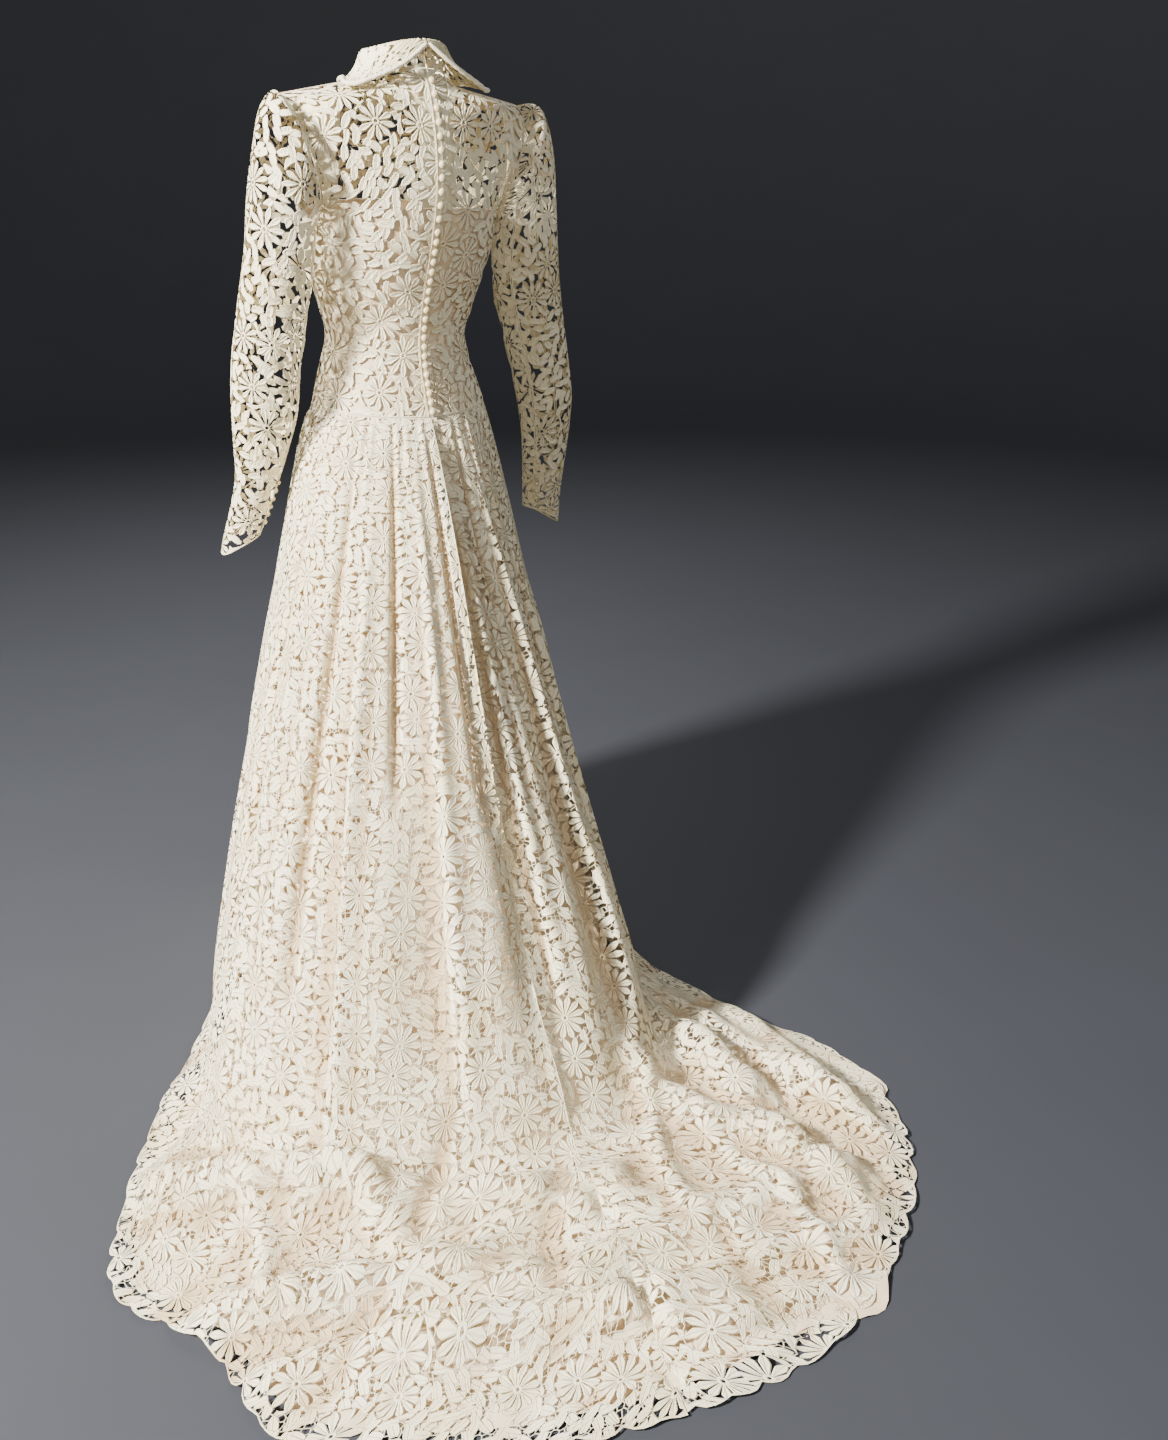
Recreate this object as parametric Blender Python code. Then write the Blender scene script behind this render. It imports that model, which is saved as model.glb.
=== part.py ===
"""Long-sleeved lace wedding gown with a floor train, as worn, with an empty hollow inside.

Metres, +Z up. The wearer faces -Y, the wearer's left is +X and the train runs out along +Y.
Heights in the tables are above the floor. The part's origin is on the shoulder line, where the
wearer carries the gown, so every point is lowered by SHOULDER_HEIGHT when its piece is made.
"""

import math
from collections import namedtuple

import bpy
from mathutils import Matrix, Vector

# Driving sizes
SHOULDER_HEIGHT = 1.42
SEAM_GAP = 0.0003
LACE = 0.0015
SATIN = 0.0012
LINING_GAP = 0.0012
FLOOR_GAP = 0.0002
LACE_LIFT = 0.0100
HEM_LIFT = 0.0042
FALL_SOFTNESS = 0.030
FLUTE_GROWTH = 0.75
ARMHOLE_OPENING_TURN = 110.0
CUFF_DIP = 0.012
CUFF_DIP_START = 0.96
TRAIN_SWEEP = 12.0
LINING_INSET_HEM = 0.0380
FLARE_FRONT = 0.76
FLARE_BACK_LEFT = 0.92
FLARE_BACK_RIGHT = 1.09
BACK_START = 0.05
BACK_REACH = 0.12

NECK_RADIUS = 0.062
NECK_BACK_REACH = 0.080
NECK_BACK_HEIGHT = 1.462
NECK_SIDE_HEIGHT = 1.452
NECK_FRONT_HEIGHT = 1.405
NECK_FRONT_REACH = 0.074
NECK_SHARE = 0.36

ARMHOLE_MIDDLE = 1.340
ARMHOLE_HALF_HEIGHT = 0.085
ARMHOLE_HALF_DEPTH = 0.058

STAND_HEIGHT = 0.036
STAND_LEAN = 0.0020
COLLAR_BASE = 0.0010
ROLL_WIDTH = 0.0042
COLLAR_POINT_ANGLE = 66.0
COLLAR_POINT_LENGTH = 0.088
COLLAR_LENGTH = 0.056
COLLAR_CLEAR = 0.0065
COLLAR_BEND = 2.5
COLLAR_BACK_FALL = 0.006
COLLAR_FRONT_TURN = 22.0
COLLAR_STAND_PART = 0.36
COLLAR_ROLL_PART = 0.50
COLLAR_SIDE_HEIGHT = 1.425
COLLAR_END = 0.006

LINING_TOP_BACK = 1.268
LINING_TOP_FRONT = 1.285
LINING_DIP_BACK = 0.0105
LINING_DIP_FRONT = 0.0275
PAD_DEPTH = 0.007
PAD_GAP = 0.0008
FACING_GAP = 0.0030
FACING_TOP = 0.985
FACING_WIDTH = 0.14
FACING_SPREAD = 0.10
FACING_OVERLAP = 0.012
PAD_LEAST = 0.0015
PAD_EDGE = 0.975
PAD_WIDTH = 0.30
PAD_START = 0.05

BUTTON_WIDTH = 0.0112
BUTTON_HEIGHT = 0.0056
BUTTON_SEAT = 0.0006
BUTTON_SEAT_TOP = 1.4400
BUTTON_COUNT = 33
BUTTON_SIDE_STEP = -0.0035
COLLAR_BUTTONS = [1.4808, 1.4692]
BUTTON_TOP_HEIGHT = 1.4452
BUTTON_PITCH_BACK = 0.01912
BUTTON_PITCH_WAIST = 0.01452
BUTTONS_ON_BACK = 11
CUFF_BUTTON_WIDTH = 0.0085
CUFF_BUTTON_COUNT = 6
CUFF_BUTTON_TURN = 8.0
CUFF_BUTTON_LIFT = 0.0006

COLUMNS_SLEEVE = 7
ROWS_SLEEVE = 12

# Bodice sections from the dropped waist up. edge is the side seam, then the armhole seam.
BodiceRow = namedtuple("BodiceRow", "height depth edge_x edge_depth edge_height")

BACK_ROWS = [
    BodiceRow(0.952, 0.117, 0.150, 0.000, 0.972),
    BodiceRow(1.000, 0.106, 0.137, 0.000, 1.012),
    BodiceRow(1.040, 0.098, 0.126, 0.000, 1.046),
    BodiceRow(1.078, 0.094, 0.119, 0.000, 1.078),
    BodiceRow(1.125, 0.098, 0.131, 0.000, 1.122),
    BodiceRow(1.170, 0.105, 0.145, 0.000, 1.165),
    BodiceRow(1.218, 0.112, 0.154, 0.000, 1.212),
]
FRONT_ROWS = [
    BodiceRow(0.952, 0.112, 0.150, 0.000, 0.972),
    BodiceRow(1.000, 0.104, 0.137, 0.000, 1.012),
    BodiceRow(1.040, 0.097, 0.126, 0.000, 1.046),
    BodiceRow(1.078, 0.094, 0.119, 0.000, 1.078),
    BodiceRow(1.125, 0.098, 0.131, 0.000, 1.122),
    BodiceRow(1.165, 0.106, 0.145, 0.000, 1.165),
    BodiceRow(1.205, 0.117, 0.154, 0.000, 1.212),
]

# Above the underarm the edge follows the armhole. turn is the angle up from its lowest point.
YokeRow = namedtuple("YokeRow", "turn height depth armhole_x")

BACK_YOKE = [
    YokeRow(0.0, 1.262, 0.117, 0.158),
    YokeRow(38.0, 1.300, 0.119, 0.153),
    YokeRow(72.0, 1.345, 0.117, 0.167),
    YokeRow(105.0, 1.390, 0.110, 0.183),
    YokeRow(142.0, 1.430, 0.096, 0.195),
]
FRONT_YOKE = [
    YokeRow(0.0, 1.245, 0.122, 0.158),
    YokeRow(38.0, 1.283, 0.118, 0.153),
    YokeRow(72.0, 1.318, 0.111, 0.166),
    YokeRow(105.0, 1.350, 0.102, 0.182),
    YokeRow(142.0, 1.380, 0.090, 0.195),
]
SHOULDER_TIP_X = 0.201
OPEN_SIDE = 0.75

# How the figure stands: the middle of each height moves sideways and back.
Stance = namedtuple("Stance", "height side back")

STANCE = [
    Stance(0.950, 0.006, -0.030),
    Stance(1.040, 0.009, -0.026),
    Stance(1.130, 0.008, -0.012),
    Stance(1.220, 0.004, 0.006),
    Stance(1.310, 0.000, 0.018),
    Stance(1.400, 0.000, 0.024),
    Stance(1.490, 0.000, 0.030),
]

# Bust shaping on the front, one soft swell each side.
BUST_X = 0.074
BUST_HEIGHT = 1.222
BUST_REACH = 0.050
BUST_SWELL = 0.016

# Sleeve sections from the armhole down: the point next to the body and the point away from it,
# the middle's place front to back, and the half width front to back.
SleeveRow = namedtuple("SleeveRow", "inner_x inner_height outer_x outer_height middle_y half_depth")

SLEEVE_LEFT = [
    SleeveRow(0.1620, 1.252, 0.220, 1.427, 0.024, 0.060),
    SleeveRow(0.1645, 1.242, 0.237, 1.406, 0.026, 0.060),
    SleeveRow(0.1645, 1.226, 0.250, 1.360, 0.026, 0.058),
    SleeveRow(0.1640, 1.200, 0.262, 1.298, 0.024, 0.056),
    SleeveRow(0.1640, 1.150, 0.266, 1.208, 0.020, 0.054),
    SleeveRow(0.1710, 1.090, 0.275, 1.120, 0.016, 0.053),
    SleeveRow(0.1800, 1.030, 0.285, 1.048, 0.015, 0.052),
    SleeveRow(0.1910, 0.962, 0.293, 0.972, 0.012, 0.049),
    SleeveRow(0.2060, 0.908, 0.292, 0.916, 0.002, 0.043),
    SleeveRow(0.2200, 0.858, 0.290, 0.862, -0.012, 0.037),
    SleeveRow(0.2330, 0.806, 0.298, 0.802, -0.034, 0.033),
    SleeveRow(0.2450, 0.762, 0.312, 0.742, -0.055, 0.032),
]
SLEEVE_RIGHT = [
    SleeveRow(0.1620, 1.252, 0.220, 1.425, 0.024, 0.060),
    SleeveRow(0.1645, 1.242, 0.236, 1.404, 0.026, 0.059),
    SleeveRow(0.1645, 1.226, 0.249, 1.358, 0.026, 0.057),
    SleeveRow(0.1645, 1.200, 0.260, 1.296, 0.024, 0.054),
    SleeveRow(0.1740, 1.150, 0.280, 1.206, 0.020, 0.051),
    SleeveRow(0.1960, 1.090, 0.305, 1.118, 0.016, 0.049),
    SleeveRow(0.2160, 1.026, 0.325, 1.042, 0.015, 0.047),
    SleeveRow(0.2330, 0.956, 0.337, 0.964, 0.012, 0.044),
    SleeveRow(0.2470, 0.898, 0.340, 0.904, 0.002, 0.039),
    SleeveRow(0.2570, 0.842, 0.341, 0.846, -0.012, 0.035),
    SleeveRow(0.2680, 0.786, 0.343, 0.780, -0.032, 0.032),
    SleeveRow(0.2780, 0.742, 0.348, 0.716, -0.050, 0.031),
]
SLEEVE_SEAM_TURN = 38.0
SLEEVE_GAP = 0.0005
SLEEVE_SEAM_TRIM = 0.45

# Skirt plan, once round from the centre front over the wearer's left: the hem on the floor and
# the line where the falling cloth first rests on the floor.
SkirtRow = namedtuple("SkirtRow", "share hem_x hem_y rest_x rest_y")

SKIRT_PLAN = [
    SkirtRow(0.000, 0.000, -0.345, 0.000, -0.340),
    SkirtRow(0.060, 0.165, -0.310, 0.163, -0.305),
    SkirtRow(0.120, 0.298, -0.210, 0.294, -0.206),
    SkirtRow(0.180, 0.366, -0.060, 0.360, -0.060),
    SkirtRow(0.230, 0.415, 0.120, 0.400, 0.112),
    SkirtRow(0.270, 0.495, 0.320, 0.445, 0.270),
    SkirtRow(0.305, 0.575, 0.500, 0.485, 0.425),
    SkirtRow(0.340, 0.634, 0.680, 0.495, 0.570),
    SkirtRow(0.370, 0.638, 0.810, 0.455, 0.680),
    SkirtRow(0.400, 0.545, 0.940, 0.380, 0.745),
    SkirtRow(0.430, 0.480, 1.095, 0.280, 0.785),
    SkirtRow(0.460, 0.320, 1.185, 0.170, 0.800),
    SkirtRow(0.490, 0.120, 1.227, 0.050, 0.795),
    SkirtRow(0.520, -0.080, 1.224, -0.050, 0.765),
    SkirtRow(0.550, -0.250, 1.160, -0.125, 0.710),
    SkirtRow(0.580, -0.405, 1.015, -0.185, 0.645),
    SkirtRow(0.610, -0.482, 0.850, -0.205, 0.562),
    SkirtRow(0.640, -0.468, 0.700, -0.222, 0.482),
    SkirtRow(0.675, -0.385, 0.555, -0.234, 0.400),
    SkirtRow(0.715, -0.315, 0.400, -0.242, 0.306),
    SkirtRow(0.760, -0.278, 0.250, -0.252, 0.210),
    SkirtRow(0.800, -0.278, 0.140, -0.266, 0.115),
    SkirtRow(0.860, -0.303, -0.060, -0.296, -0.058),
    SkirtRow(0.930, -0.205, -0.250, -0.202, -0.246),
]

# Flutes that run down the skirt. depth is negative for a trough.
Flute = namedtuple("Flute", "share drift start depth width")

FLUTES = [
    Flute(0.500, 0.000, 0.02, -0.026, 0.0150),
    Flute(0.474, 0.000, 0.10, 0.016, 0.0150),
    Flute(0.446, 0.002, 0.16, -0.022, 0.0150),
    Flute(0.420, 0.002, 0.20, 0.016, 0.0150),
    Flute(0.394, 0.004, 0.24, -0.022, 0.0150),
    Flute(0.362, 0.000, 0.20, 0.015, 0.0160),
    Flute(0.332, 0.000, 0.28, -0.018, 0.0160),
    Flute(0.298, 0.000, 0.30, 0.014, 0.0160),
    Flute(0.262, 0.000, 0.24, -0.016, 0.0180),
    Flute(0.222, 0.000, 0.20, 0.012, 0.0200),
    Flute(0.176, 0.000, 0.26, -0.016, 0.0200),
    Flute(0.132, 0.000, 0.20, 0.014, 0.0200),
    Flute(0.086, 0.000, 0.28, -0.015, 0.0200),
    Flute(0.040, 0.000, 0.22, 0.012, 0.0200),
    Flute(-0.004, 0.000, 0.30, -0.012, 0.0200),
    Flute(-0.050, 0.000, 0.22, 0.012, 0.0200),
    Flute(-0.096, 0.000, 0.26, -0.015, 0.0200),
    Flute(-0.142, 0.000, 0.20, 0.013, 0.0200),
    Flute(-0.186, 0.000, 0.28, -0.014, 0.0200),
    Flute(-0.228, 0.000, 0.22, 0.012, 0.0180),
    Flute(-0.264, 0.000, 0.20, -0.014, 0.0160),
    Flute(-0.298, 0.000, 0.26, 0.013, 0.0160),
    Flute(-0.332, 0.000, 0.20, -0.018, 0.0150),
    Flute(-0.362, 0.000, 0.24, 0.014, 0.0150),
    Flute(-0.392, 0.000, 0.18, -0.020, 0.0150),
    Flute(-0.420, 0.000, 0.22, 0.016, 0.0150),
    Flute(-0.446, 0.000, 0.12, -0.020, 0.0150),
    Flute(-0.474, 0.000, 0.08, 0.018, 0.0150),
]

# Rolls where the train lies in folds on the floor, each from one end to the other.
Roll = namedtuple("Roll", "x1 y1 x2 y2 height width")

ROLLS = [
    Roll(0.560, 0.640, 0.230, 0.835, 0.040, 0.034),
    Roll(0.230, 0.835, -0.010, 0.865, 0.034, 0.032),
    Roll(0.520, 0.900, 0.100, 1.000, 0.036, 0.034),
    Roll(0.100, 1.000, -0.330, 0.960, 0.030, 0.034),
    Roll(0.360, 1.040, -0.060, 1.110, 0.022, 0.030),
    Roll(-0.190, 0.440, -0.290, 0.760, 0.034, 0.030),
    Roll(-0.240, 0.420, -0.400, 0.830, 0.026, 0.028),
    Roll(-0.120, 0.680, -0.260, 0.880, 0.030, 0.030),
]

# Where the lining shows past the lace at the hem.
Show = namedtuple("Show", "share past width")

LINING_SHOWS = [
    Show(0.622, 0.036, 0.012),
    Show(0.548, 0.034, 0.010),
]
LINING_HEM = 0.975
SKIRT_SEAM = 0.00020

SWEEP = Matrix.Rotation(-math.radians(TRAIN_SWEEP), 2)

LEFT = 1.0
RIGHT = -1.0
BACK = 1.0
FRONT = -1.0


def smooth_step(value):
    """Ease from 0 to 1."""
    value = min(max(value, 0.0), 1.0)
    return value * value * (3.0 - 2.0 * value)


def catmull(before, start, end, after, part):
    """One coordinate of a Catmull-Rom curve."""
    square = part * part
    cube = square * part
    return 0.5 * (2.0 * start + (end - before) * part
                  + (2.0 * before - 5.0 * start + 4.0 * end - after) * square
                  + (3.0 * start - before - 3.0 * end + after) * cube)


def read_rows(rows, place):
    """Every column of a table at a place counted in rows, on a smooth curve."""
    last = len(rows) - 1
    place = min(max(place, 0.0), float(last))
    low = min(int(place), last - 1)
    before = rows[max(low - 1, 0)]
    after = rows[min(low + 2, last)]
    return [catmull(a, b, c, d, place - low)
            for a, b, c, d in zip(before, rows[low], rows[low + 1], after)]


def blend_points(points, place):
    """A point at a place counted in points, on a smooth curve."""
    return Vector(read_rows([tuple(point) for point in points], place))


def stand(point, side=1.0):
    """Move a point with the figure's stance at its height."""
    first = STANCE[0].height
    step = STANCE[1].height - first
    row = read_rows(STANCE, (point.z - first) / step)
    return Vector((point.x * side + row[1], point.y + row[2], point.z))


def armhole_point(turn, reach, side_x):
    """A point of the armhole seam, turn degrees up from its lowest point."""
    angle = math.radians(turn)
    return Vector((side_x,
                   reach * ARMHOLE_HALF_DEPTH * math.sin(angle),
                   ARMHOLE_MIDDLE - ARMHOLE_HALF_HEIGHT * math.cos(angle)))


def neck_point(turn):
    """A point of the neck seam, turn degrees round from the centre back, on the wearer's left."""
    angle = math.radians(turn)
    reach = NECK_BACK_REACH if turn <= 90.0 else NECK_FRONT_REACH
    end_height = NECK_BACK_HEIGHT if turn <= 90.0 else NECK_FRONT_HEIGHT
    rise = math.cos(angle) ** 2
    return Vector((NECK_RADIUS * math.sin(angle),
                   reach * math.cos(angle),
                   NECK_SIDE_HEIGHT + (end_height - NECK_SIDE_HEIGHT) * rise))


def section_point(share, height, depth, edge_x, edge_depth, edge_height, face, open_side=0.0):
    """A point on one section of the bodice, share 0 at the centre and 1 at its edge. open_side
    flattens a section that ends at an armhole."""
    angle = share * math.pi / 2.0
    along = math.sin(angle) * (1.0 - open_side) + share * open_side
    bend = math.cos(angle) * (1.0 - open_side) + (1.0 - share * share) * open_side
    return Vector((edge_x * along,
                   face * (edge_depth + (depth - edge_depth) * bend),
                   height + (edge_height - height) * share ** 1.5))


def top_point(share, face):
    """A point of the bodice's top edge: half the neck, then the shoulder seam."""
    if share < NECK_SHARE:
        part = share / NECK_SHARE
        return neck_point(90.0 * part if face == BACK else 180.0 - 90.0 * part)
    part = (share - NECK_SHARE) / (1.0 - NECK_SHARE)
    start = neck_point(90.0)
    end = armhole_point(180.0, face, SHOULDER_TIP_X)
    return start.lerp(end, part)


def bodice_point(share, level, face):
    """A point on the wearer's left half of the bodice. level runs from 0, the dropped waist,
    to 1, the neck and the shoulder seam."""
    rows = BACK_ROWS if face == BACK else FRONT_ROWS
    yoke = BACK_YOKE if face == BACK else FRONT_YOKE
    points = [section_point(share, *row, face) for row in rows]
    for row in yoke:
        seam = armhole_point(row.turn, 1.0, row.armhole_x)
        open_side = OPEN_SIDE * smooth_step(row.turn / ARMHOLE_OPENING_TURN)
        points.append(section_point(share, row.height, row.depth, seam.x, seam.y, seam.z, face,
                                    open_side))
    points.append(top_point(share, face))
    point = blend_points(points, level * (len(points) - 1))
    if face == FRONT:
        away = math.hypot(point.x - BUST_X, point.z - BUST_HEIGHT) / BUST_REACH
        point.y -= BUST_SWELL * math.exp(-away * away)
    return point


UNDERARM_LEVEL = len(BACK_ROWS) / (len(BACK_ROWS) + len(BACK_YOKE))
BODICE_LEVELS = len(BACK_ROWS) + len(BACK_YOKE)
LINING_ROWS = len(BACK_ROWS)
FACING_ROW = LINING_ROWS
BACK_US = [0.0, 0.12, 0.24, NECK_SHARE, 0.49, 0.62, 0.75, 0.88, 1.0]
FRONT_US = [0.0, 0.18, NECK_SHARE, 0.53, 0.69, 0.85, 1.0]


def panel_point(share, level, face):
    """A point on the flat facets of a bodice panel, for what lies under that panel."""
    columns = BACK_US if face == BACK else FRONT_US
    side = max(index for index in range(len(columns) - 1) if columns[index] <= share + 1e-9)
    along = (share - columns[side]) / (columns[side + 1] - columns[side])
    row = min(int(level * BODICE_LEVELS + 1e-9), BODICE_LEVELS - 1)
    up = level * BODICE_LEVELS - row
    low, high = [
        bodice_point(columns[side], step / BODICE_LEVELS, face).lerp(
            bodice_point(columns[side + 1], step / BODICE_LEVELS, face), along)
        for step in (row, row + 1)]
    return low.lerp(high, up)


def collar_fall_length(turn):
    """How far the collar falls from its roll, turn degrees round from the centre back."""
    if turn <= COLLAR_POINT_ANGLE:
        part = turn / COLLAR_POINT_ANGLE
        return COLLAR_BACK_FALL + (COLLAR_POINT_LENGTH - COLLAR_BACK_FALL) * part ** 1.15
    part = smooth_step((turn - COLLAR_POINT_ANGLE) / COLLAR_FRONT_TURN)
    return COLLAR_POINT_LENGTH + (COLLAR_LENGTH - COLLAR_POINT_LENGTH) * part


def collar_point(share, level):
    """A point of the collar's cloth: up the stand, over the roll and down the fall."""
    turn = 180.0 * share
    angle = math.radians(turn)
    neck = neck_point(turn)
    outward = Vector((math.sin(angle), math.cos(angle), 0.0))
    roll_height = neck.z + STAND_HEIGHT
    stand_part = COLLAR_STAND_PART
    roll_part = COLLAR_ROLL_PART
    if level <= stand_part:
        part = level / stand_part
        return neck - outward * STAND_LEAN * part + Vector((
            0.0, 0.0, COLLAR_BASE + STAND_HEIGHT * part))
    if level <= roll_part:
        part = (level - stand_part) / (roll_part - stand_part)
        bend = part * math.pi * 0.80
        step = outward * (ROLL_WIDTH * 0.5 * (1.0 - math.cos(bend)) - STAND_LEAN)
        rise = COLLAR_BASE + ROLL_WIDTH * 0.5 * math.sin(bend)
        return Vector((neck.x, neck.y, roll_height)) + step + Vector((0.0, 0.0, rise))
    part = (level - roll_part) / (1.0 - roll_part)
    length = collar_fall_length(turn) * part
    spread = 0.46 + 0.28 * math.exp(-((turn - COLLAR_POINT_ANGLE) / 40.0) ** 2)
    run = length * spread * (0.55 + 0.45 * part)
    drop = math.sqrt(max(length * length - run * run, 0.0))
    start = outward * (ROLL_WIDTH * 0.905 - STAND_LEAN)
    base = Vector((neck.x, neck.y, roll_height + COLLAR_BASE + ROLL_WIDTH * 0.294))
    point = base + start + outward * run - Vector((0.0, 0.0, drop))
    slope = (NECK_SIDE_HEIGHT - COLLAR_SIDE_HEIGHT) / (SHOULDER_TIP_X - NECK_RADIUS)
    least = NECK_SIDE_HEIGHT + COLLAR_CLEAR - slope * (point.x - NECK_RADIUS)
    point.z = max(point.z, least - COLLAR_BEND * point.y * point.y)
    return point


def armhole_seam(turn):
    """The sleeve's first edge: straight between the same points as the bodice's armhole."""
    face = BACK if turn % 360.0 <= 180.0 else FRONT
    up = min(turn % 360.0, 360.0 - turn % 360.0)
    seam_x = [row.armhole_x for row in BACK_YOKE] + [SHOULDER_TIP_X]
    turns = [row.turn for row in BACK_YOKE] + [180.0]
    low = max(index for index in range(len(turns) - 1) if turns[index] <= up)
    part = (up - turns[low]) / (turns[low + 1] - turns[low])
    start = armhole_point(turns[low], face, seam_x[low])
    end = armhole_point(turns[low + 1], face, seam_x[low + 1])
    return start.lerp(end, part) + Vector((SLEEVE_GAP, 0.0, 0.0))


def sleeve_point(rows, turn, level):
    """A point on the wearer's left sleeve, or on the right one seen in a mirror. turn is 0 next
    to the body, 90 at the back, 180 at the outside and 270 at the front."""
    angle = math.radians(turn)
    points = [armhole_seam(turn)]
    for row in rows:
        middle_x = (row.inner_x + row.outer_x) / 2.0
        middle_height = (row.inner_height + row.outer_height) / 2.0
        points.append(Vector((
            middle_x - (row.outer_x - row.inner_x) / 2.0 * math.cos(angle),
            row.middle_y + row.half_depth * math.sin(angle),
            middle_height - (row.outer_height - row.inner_height) / 2.0 * math.cos(angle))))
    place = level * (len(points) - 1)
    point = blend_points(points, place)
    if level > CUFF_DIP_START:
        dip = (level - CUFF_DIP_START) / (1.0 - CUFF_DIP_START)
        point.z -= CUFF_DIP * dip * (0.5 - 0.5 * math.cos(angle)) ** 3
    return point


def hip_point(share):
    """A point of the dropped waist seam, once round from the centre front."""
    turn = (share % 1.0) * 4.0
    quarter = int(turn) % 4
    part = turn - int(turn)
    if quarter in (1, 3):
        part = 1.0 - part
    face = FRONT if quarter in (0, 3) else BACK
    return stand(bodice_point(part, 0.0, face), LEFT if quarter < 2 else RIGHT)


def skirt_plan(share):
    """Hem and rest line at a share of the round, on smooth closed curves, with the train swept
    to one side."""
    share = share % 1.0
    count = len(SKIRT_PLAN)
    low = max(index for index in range(count) if SKIRT_PLAN[index].share <= share)
    start = SKIRT_PLAN[low]
    end = SKIRT_PLAN[(low + 1) % count]
    before = SKIRT_PLAN[(low - 1) % count]
    after = SKIRT_PLAN[(low + 2) % count]
    span = (end.share - start.share) % 1.0
    part = (share - start.share) / span
    hem_x, hem_y, rest_x, rest_y = [
        catmull(before[column], start[column], end[column], after[column], part)
        for column in range(1, 5)]
    return SWEEP @ Vector((hem_x, hem_y)), SWEEP @ Vector((rest_x, rest_y))


def flute_height(share, drop):
    """How far the skirt stands out or in from its plain cone, from its flutes."""
    total = 0.0
    for flute in FLUTES:
        centre = flute.share + flute.drift * drop
        away = (share - centre + 0.5) % 1.0 - 0.5
        if abs(away) > 4.0 * flute.width:
            continue
        grow = smooth_step((drop - flute.start) / FLUTE_GROWTH)
        total += flute.depth * grow * math.exp(-(away / flute.width) ** 2)
    return total


def roll_height(plan):
    """How high the train's cloth stands over the floor in its rolls."""
    x, y = plan @ SWEEP
    total = 0.0
    for roll in ROLLS:
        run_x = roll.x2 - roll.x1
        run_y = roll.y2 - roll.y1
        length = run_x * run_x + run_y * run_y
        along = ((x - roll.x1) * run_x + (y - roll.y1) * run_y) / length
        near = min(max(along, 0.0), 1.0)
        gap = math.hypot(x - roll.x1 - near * run_x, y - roll.y1 - near * run_y)
        total = max(total, roll.height * math.exp(-(gap / roll.width) ** 2))
    return total


def fall_share(share):
    """The share of a skirt line's length that falls before it rests on the floor."""
    hem, rest = skirt_plan(share)
    hip = hip_point(share)
    falling = math.hypot((rest - hip.xy).length, hip.z)
    return falling / (falling + (hem - rest).length)


def skirt_place(share, level):
    """Where a skirt point lies before its folds: how far down it is, its place in plan and its
    height."""
    hem, rest = skirt_plan(share)
    hip = hip_point(share)
    run = level / fall_share(share)
    backness = smooth_step((hip.y + BACK_START) / BACK_REACH)
    gather = FLARE_BACK_LEFT if share % 1.0 < 0.5 else FLARE_BACK_RIGHT
    if run <= 1.0:
        plan = hip.xy.lerp(rest, run ** (FLARE_FRONT + (gather - FLARE_FRONT) * backness))
    else:
        plan = rest.lerp(hem, (run - 1.0) * fall_share(share) / (1.0 - fall_share(share)))
    straight = hip.z * (1.0 - run)
    soft = FALL_SOFTNESS * min(run, 1.0)
    height = (straight + math.sqrt(straight * straight + 4.0 * soft * soft)) / 2.0
    height *= 1.0 - smooth_step((run - 0.90) / 0.30)
    return run, plan, height


def way_out(share, level):
    """The level direction square to the skirt's plan, away from the body."""
    before = skirt_place(share - 0.004, level)[1]
    after = skirt_place(share + 0.004, level)[1]
    return Vector((after.y - before.y, before.x - after.x)).normalized()


def skirt_point(share, level):
    """A point of the lace skirt, level 0 at the dropped waist and 1 at the hem."""
    run, plan, height = skirt_place(share, level)
    outward = way_out(share, level)
    press = 1.0 - smooth_step((run - 0.70) / 0.30)
    push = flute_height(share, min(run, 1.0)) * (0.12 + 0.88 * press)
    on_floor = smooth_step((run - 0.80) / 0.25)
    lift = LACE_LIFT + (HEM_LIFT - LACE_LIFT) * smooth_step((level - 0.86) / 0.14)
    lift *= smooth_step(run / 0.9)
    plan = plan + outward * push
    rise = roll_height(plan) * on_floor
    return Vector((plan.x, plan.y, height + rise + lift))


def lining_point(share, level):
    """A point of the skirt lining: a plain cone inside the lace that lies flat on the floor."""
    run, plan, height = skirt_place(share, level)
    outward = way_out(share, level)
    press = 1.0 - smooth_step((run - 0.95) / 0.25)
    waist = LACE + LINING_GAP
    inset = waist + (LINING_INSET_HEM - waist) * smooth_step(run / 0.6)
    plan = plan - outward * inset * press
    return Vector((plan.x, plan.y, height + (SATIN + FLOOR_GAP) * smooth_step(run / 0.9)))


def surface_normal(surface, u, v, facing, closed=False):
    """The outward normal of a surface, from nearby points. A closed one goes on past its side
    borders, so that two pieces share the normal of their seam."""
    step = 0.004
    low_u = u - step if closed else max(u - step, 0.0)
    high_u = u + step if closed else min(u + step, 1.0)
    low_v = max(v - step, 0.0)
    high_v = min(v + step, 1.0)
    along = surface(high_u, v) - surface(low_u, v)
    up = surface(u, high_v) - surface(u, low_v)
    normal = along.cross(up) * facing
    return normal.normalized()


def make_material(name, color, roughness, sheen=0.0):
    """A plain cloth material."""
    material = bpy.data.materials.get(name)
    if material:
        return material
    material = bpy.data.materials.new(name)
    material.use_nodes = True
    shader = material.node_tree.nodes["Principled BSDF"]
    shader.inputs["Base Color"].default_value = (*color, 1.0)
    shader.inputs["Roughness"].default_value = roughness
    shader.inputs["Metallic"].default_value = 0.0
    shader.inputs["Sheen Weight"].default_value = sheen
    return material


def lace_material():
    return make_material("Ivory corded lace", (0.88, 0.84, 0.70), 0.75, 0.2)


def satin_material():
    return make_material("Peach ivory satin", (0.86, 0.74, 0.60), 0.38, 0.1)


def trim_material():
    return make_material("Cream satin trim", (0.90, 0.86, 0.72), 0.42, 0.1)


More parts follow.
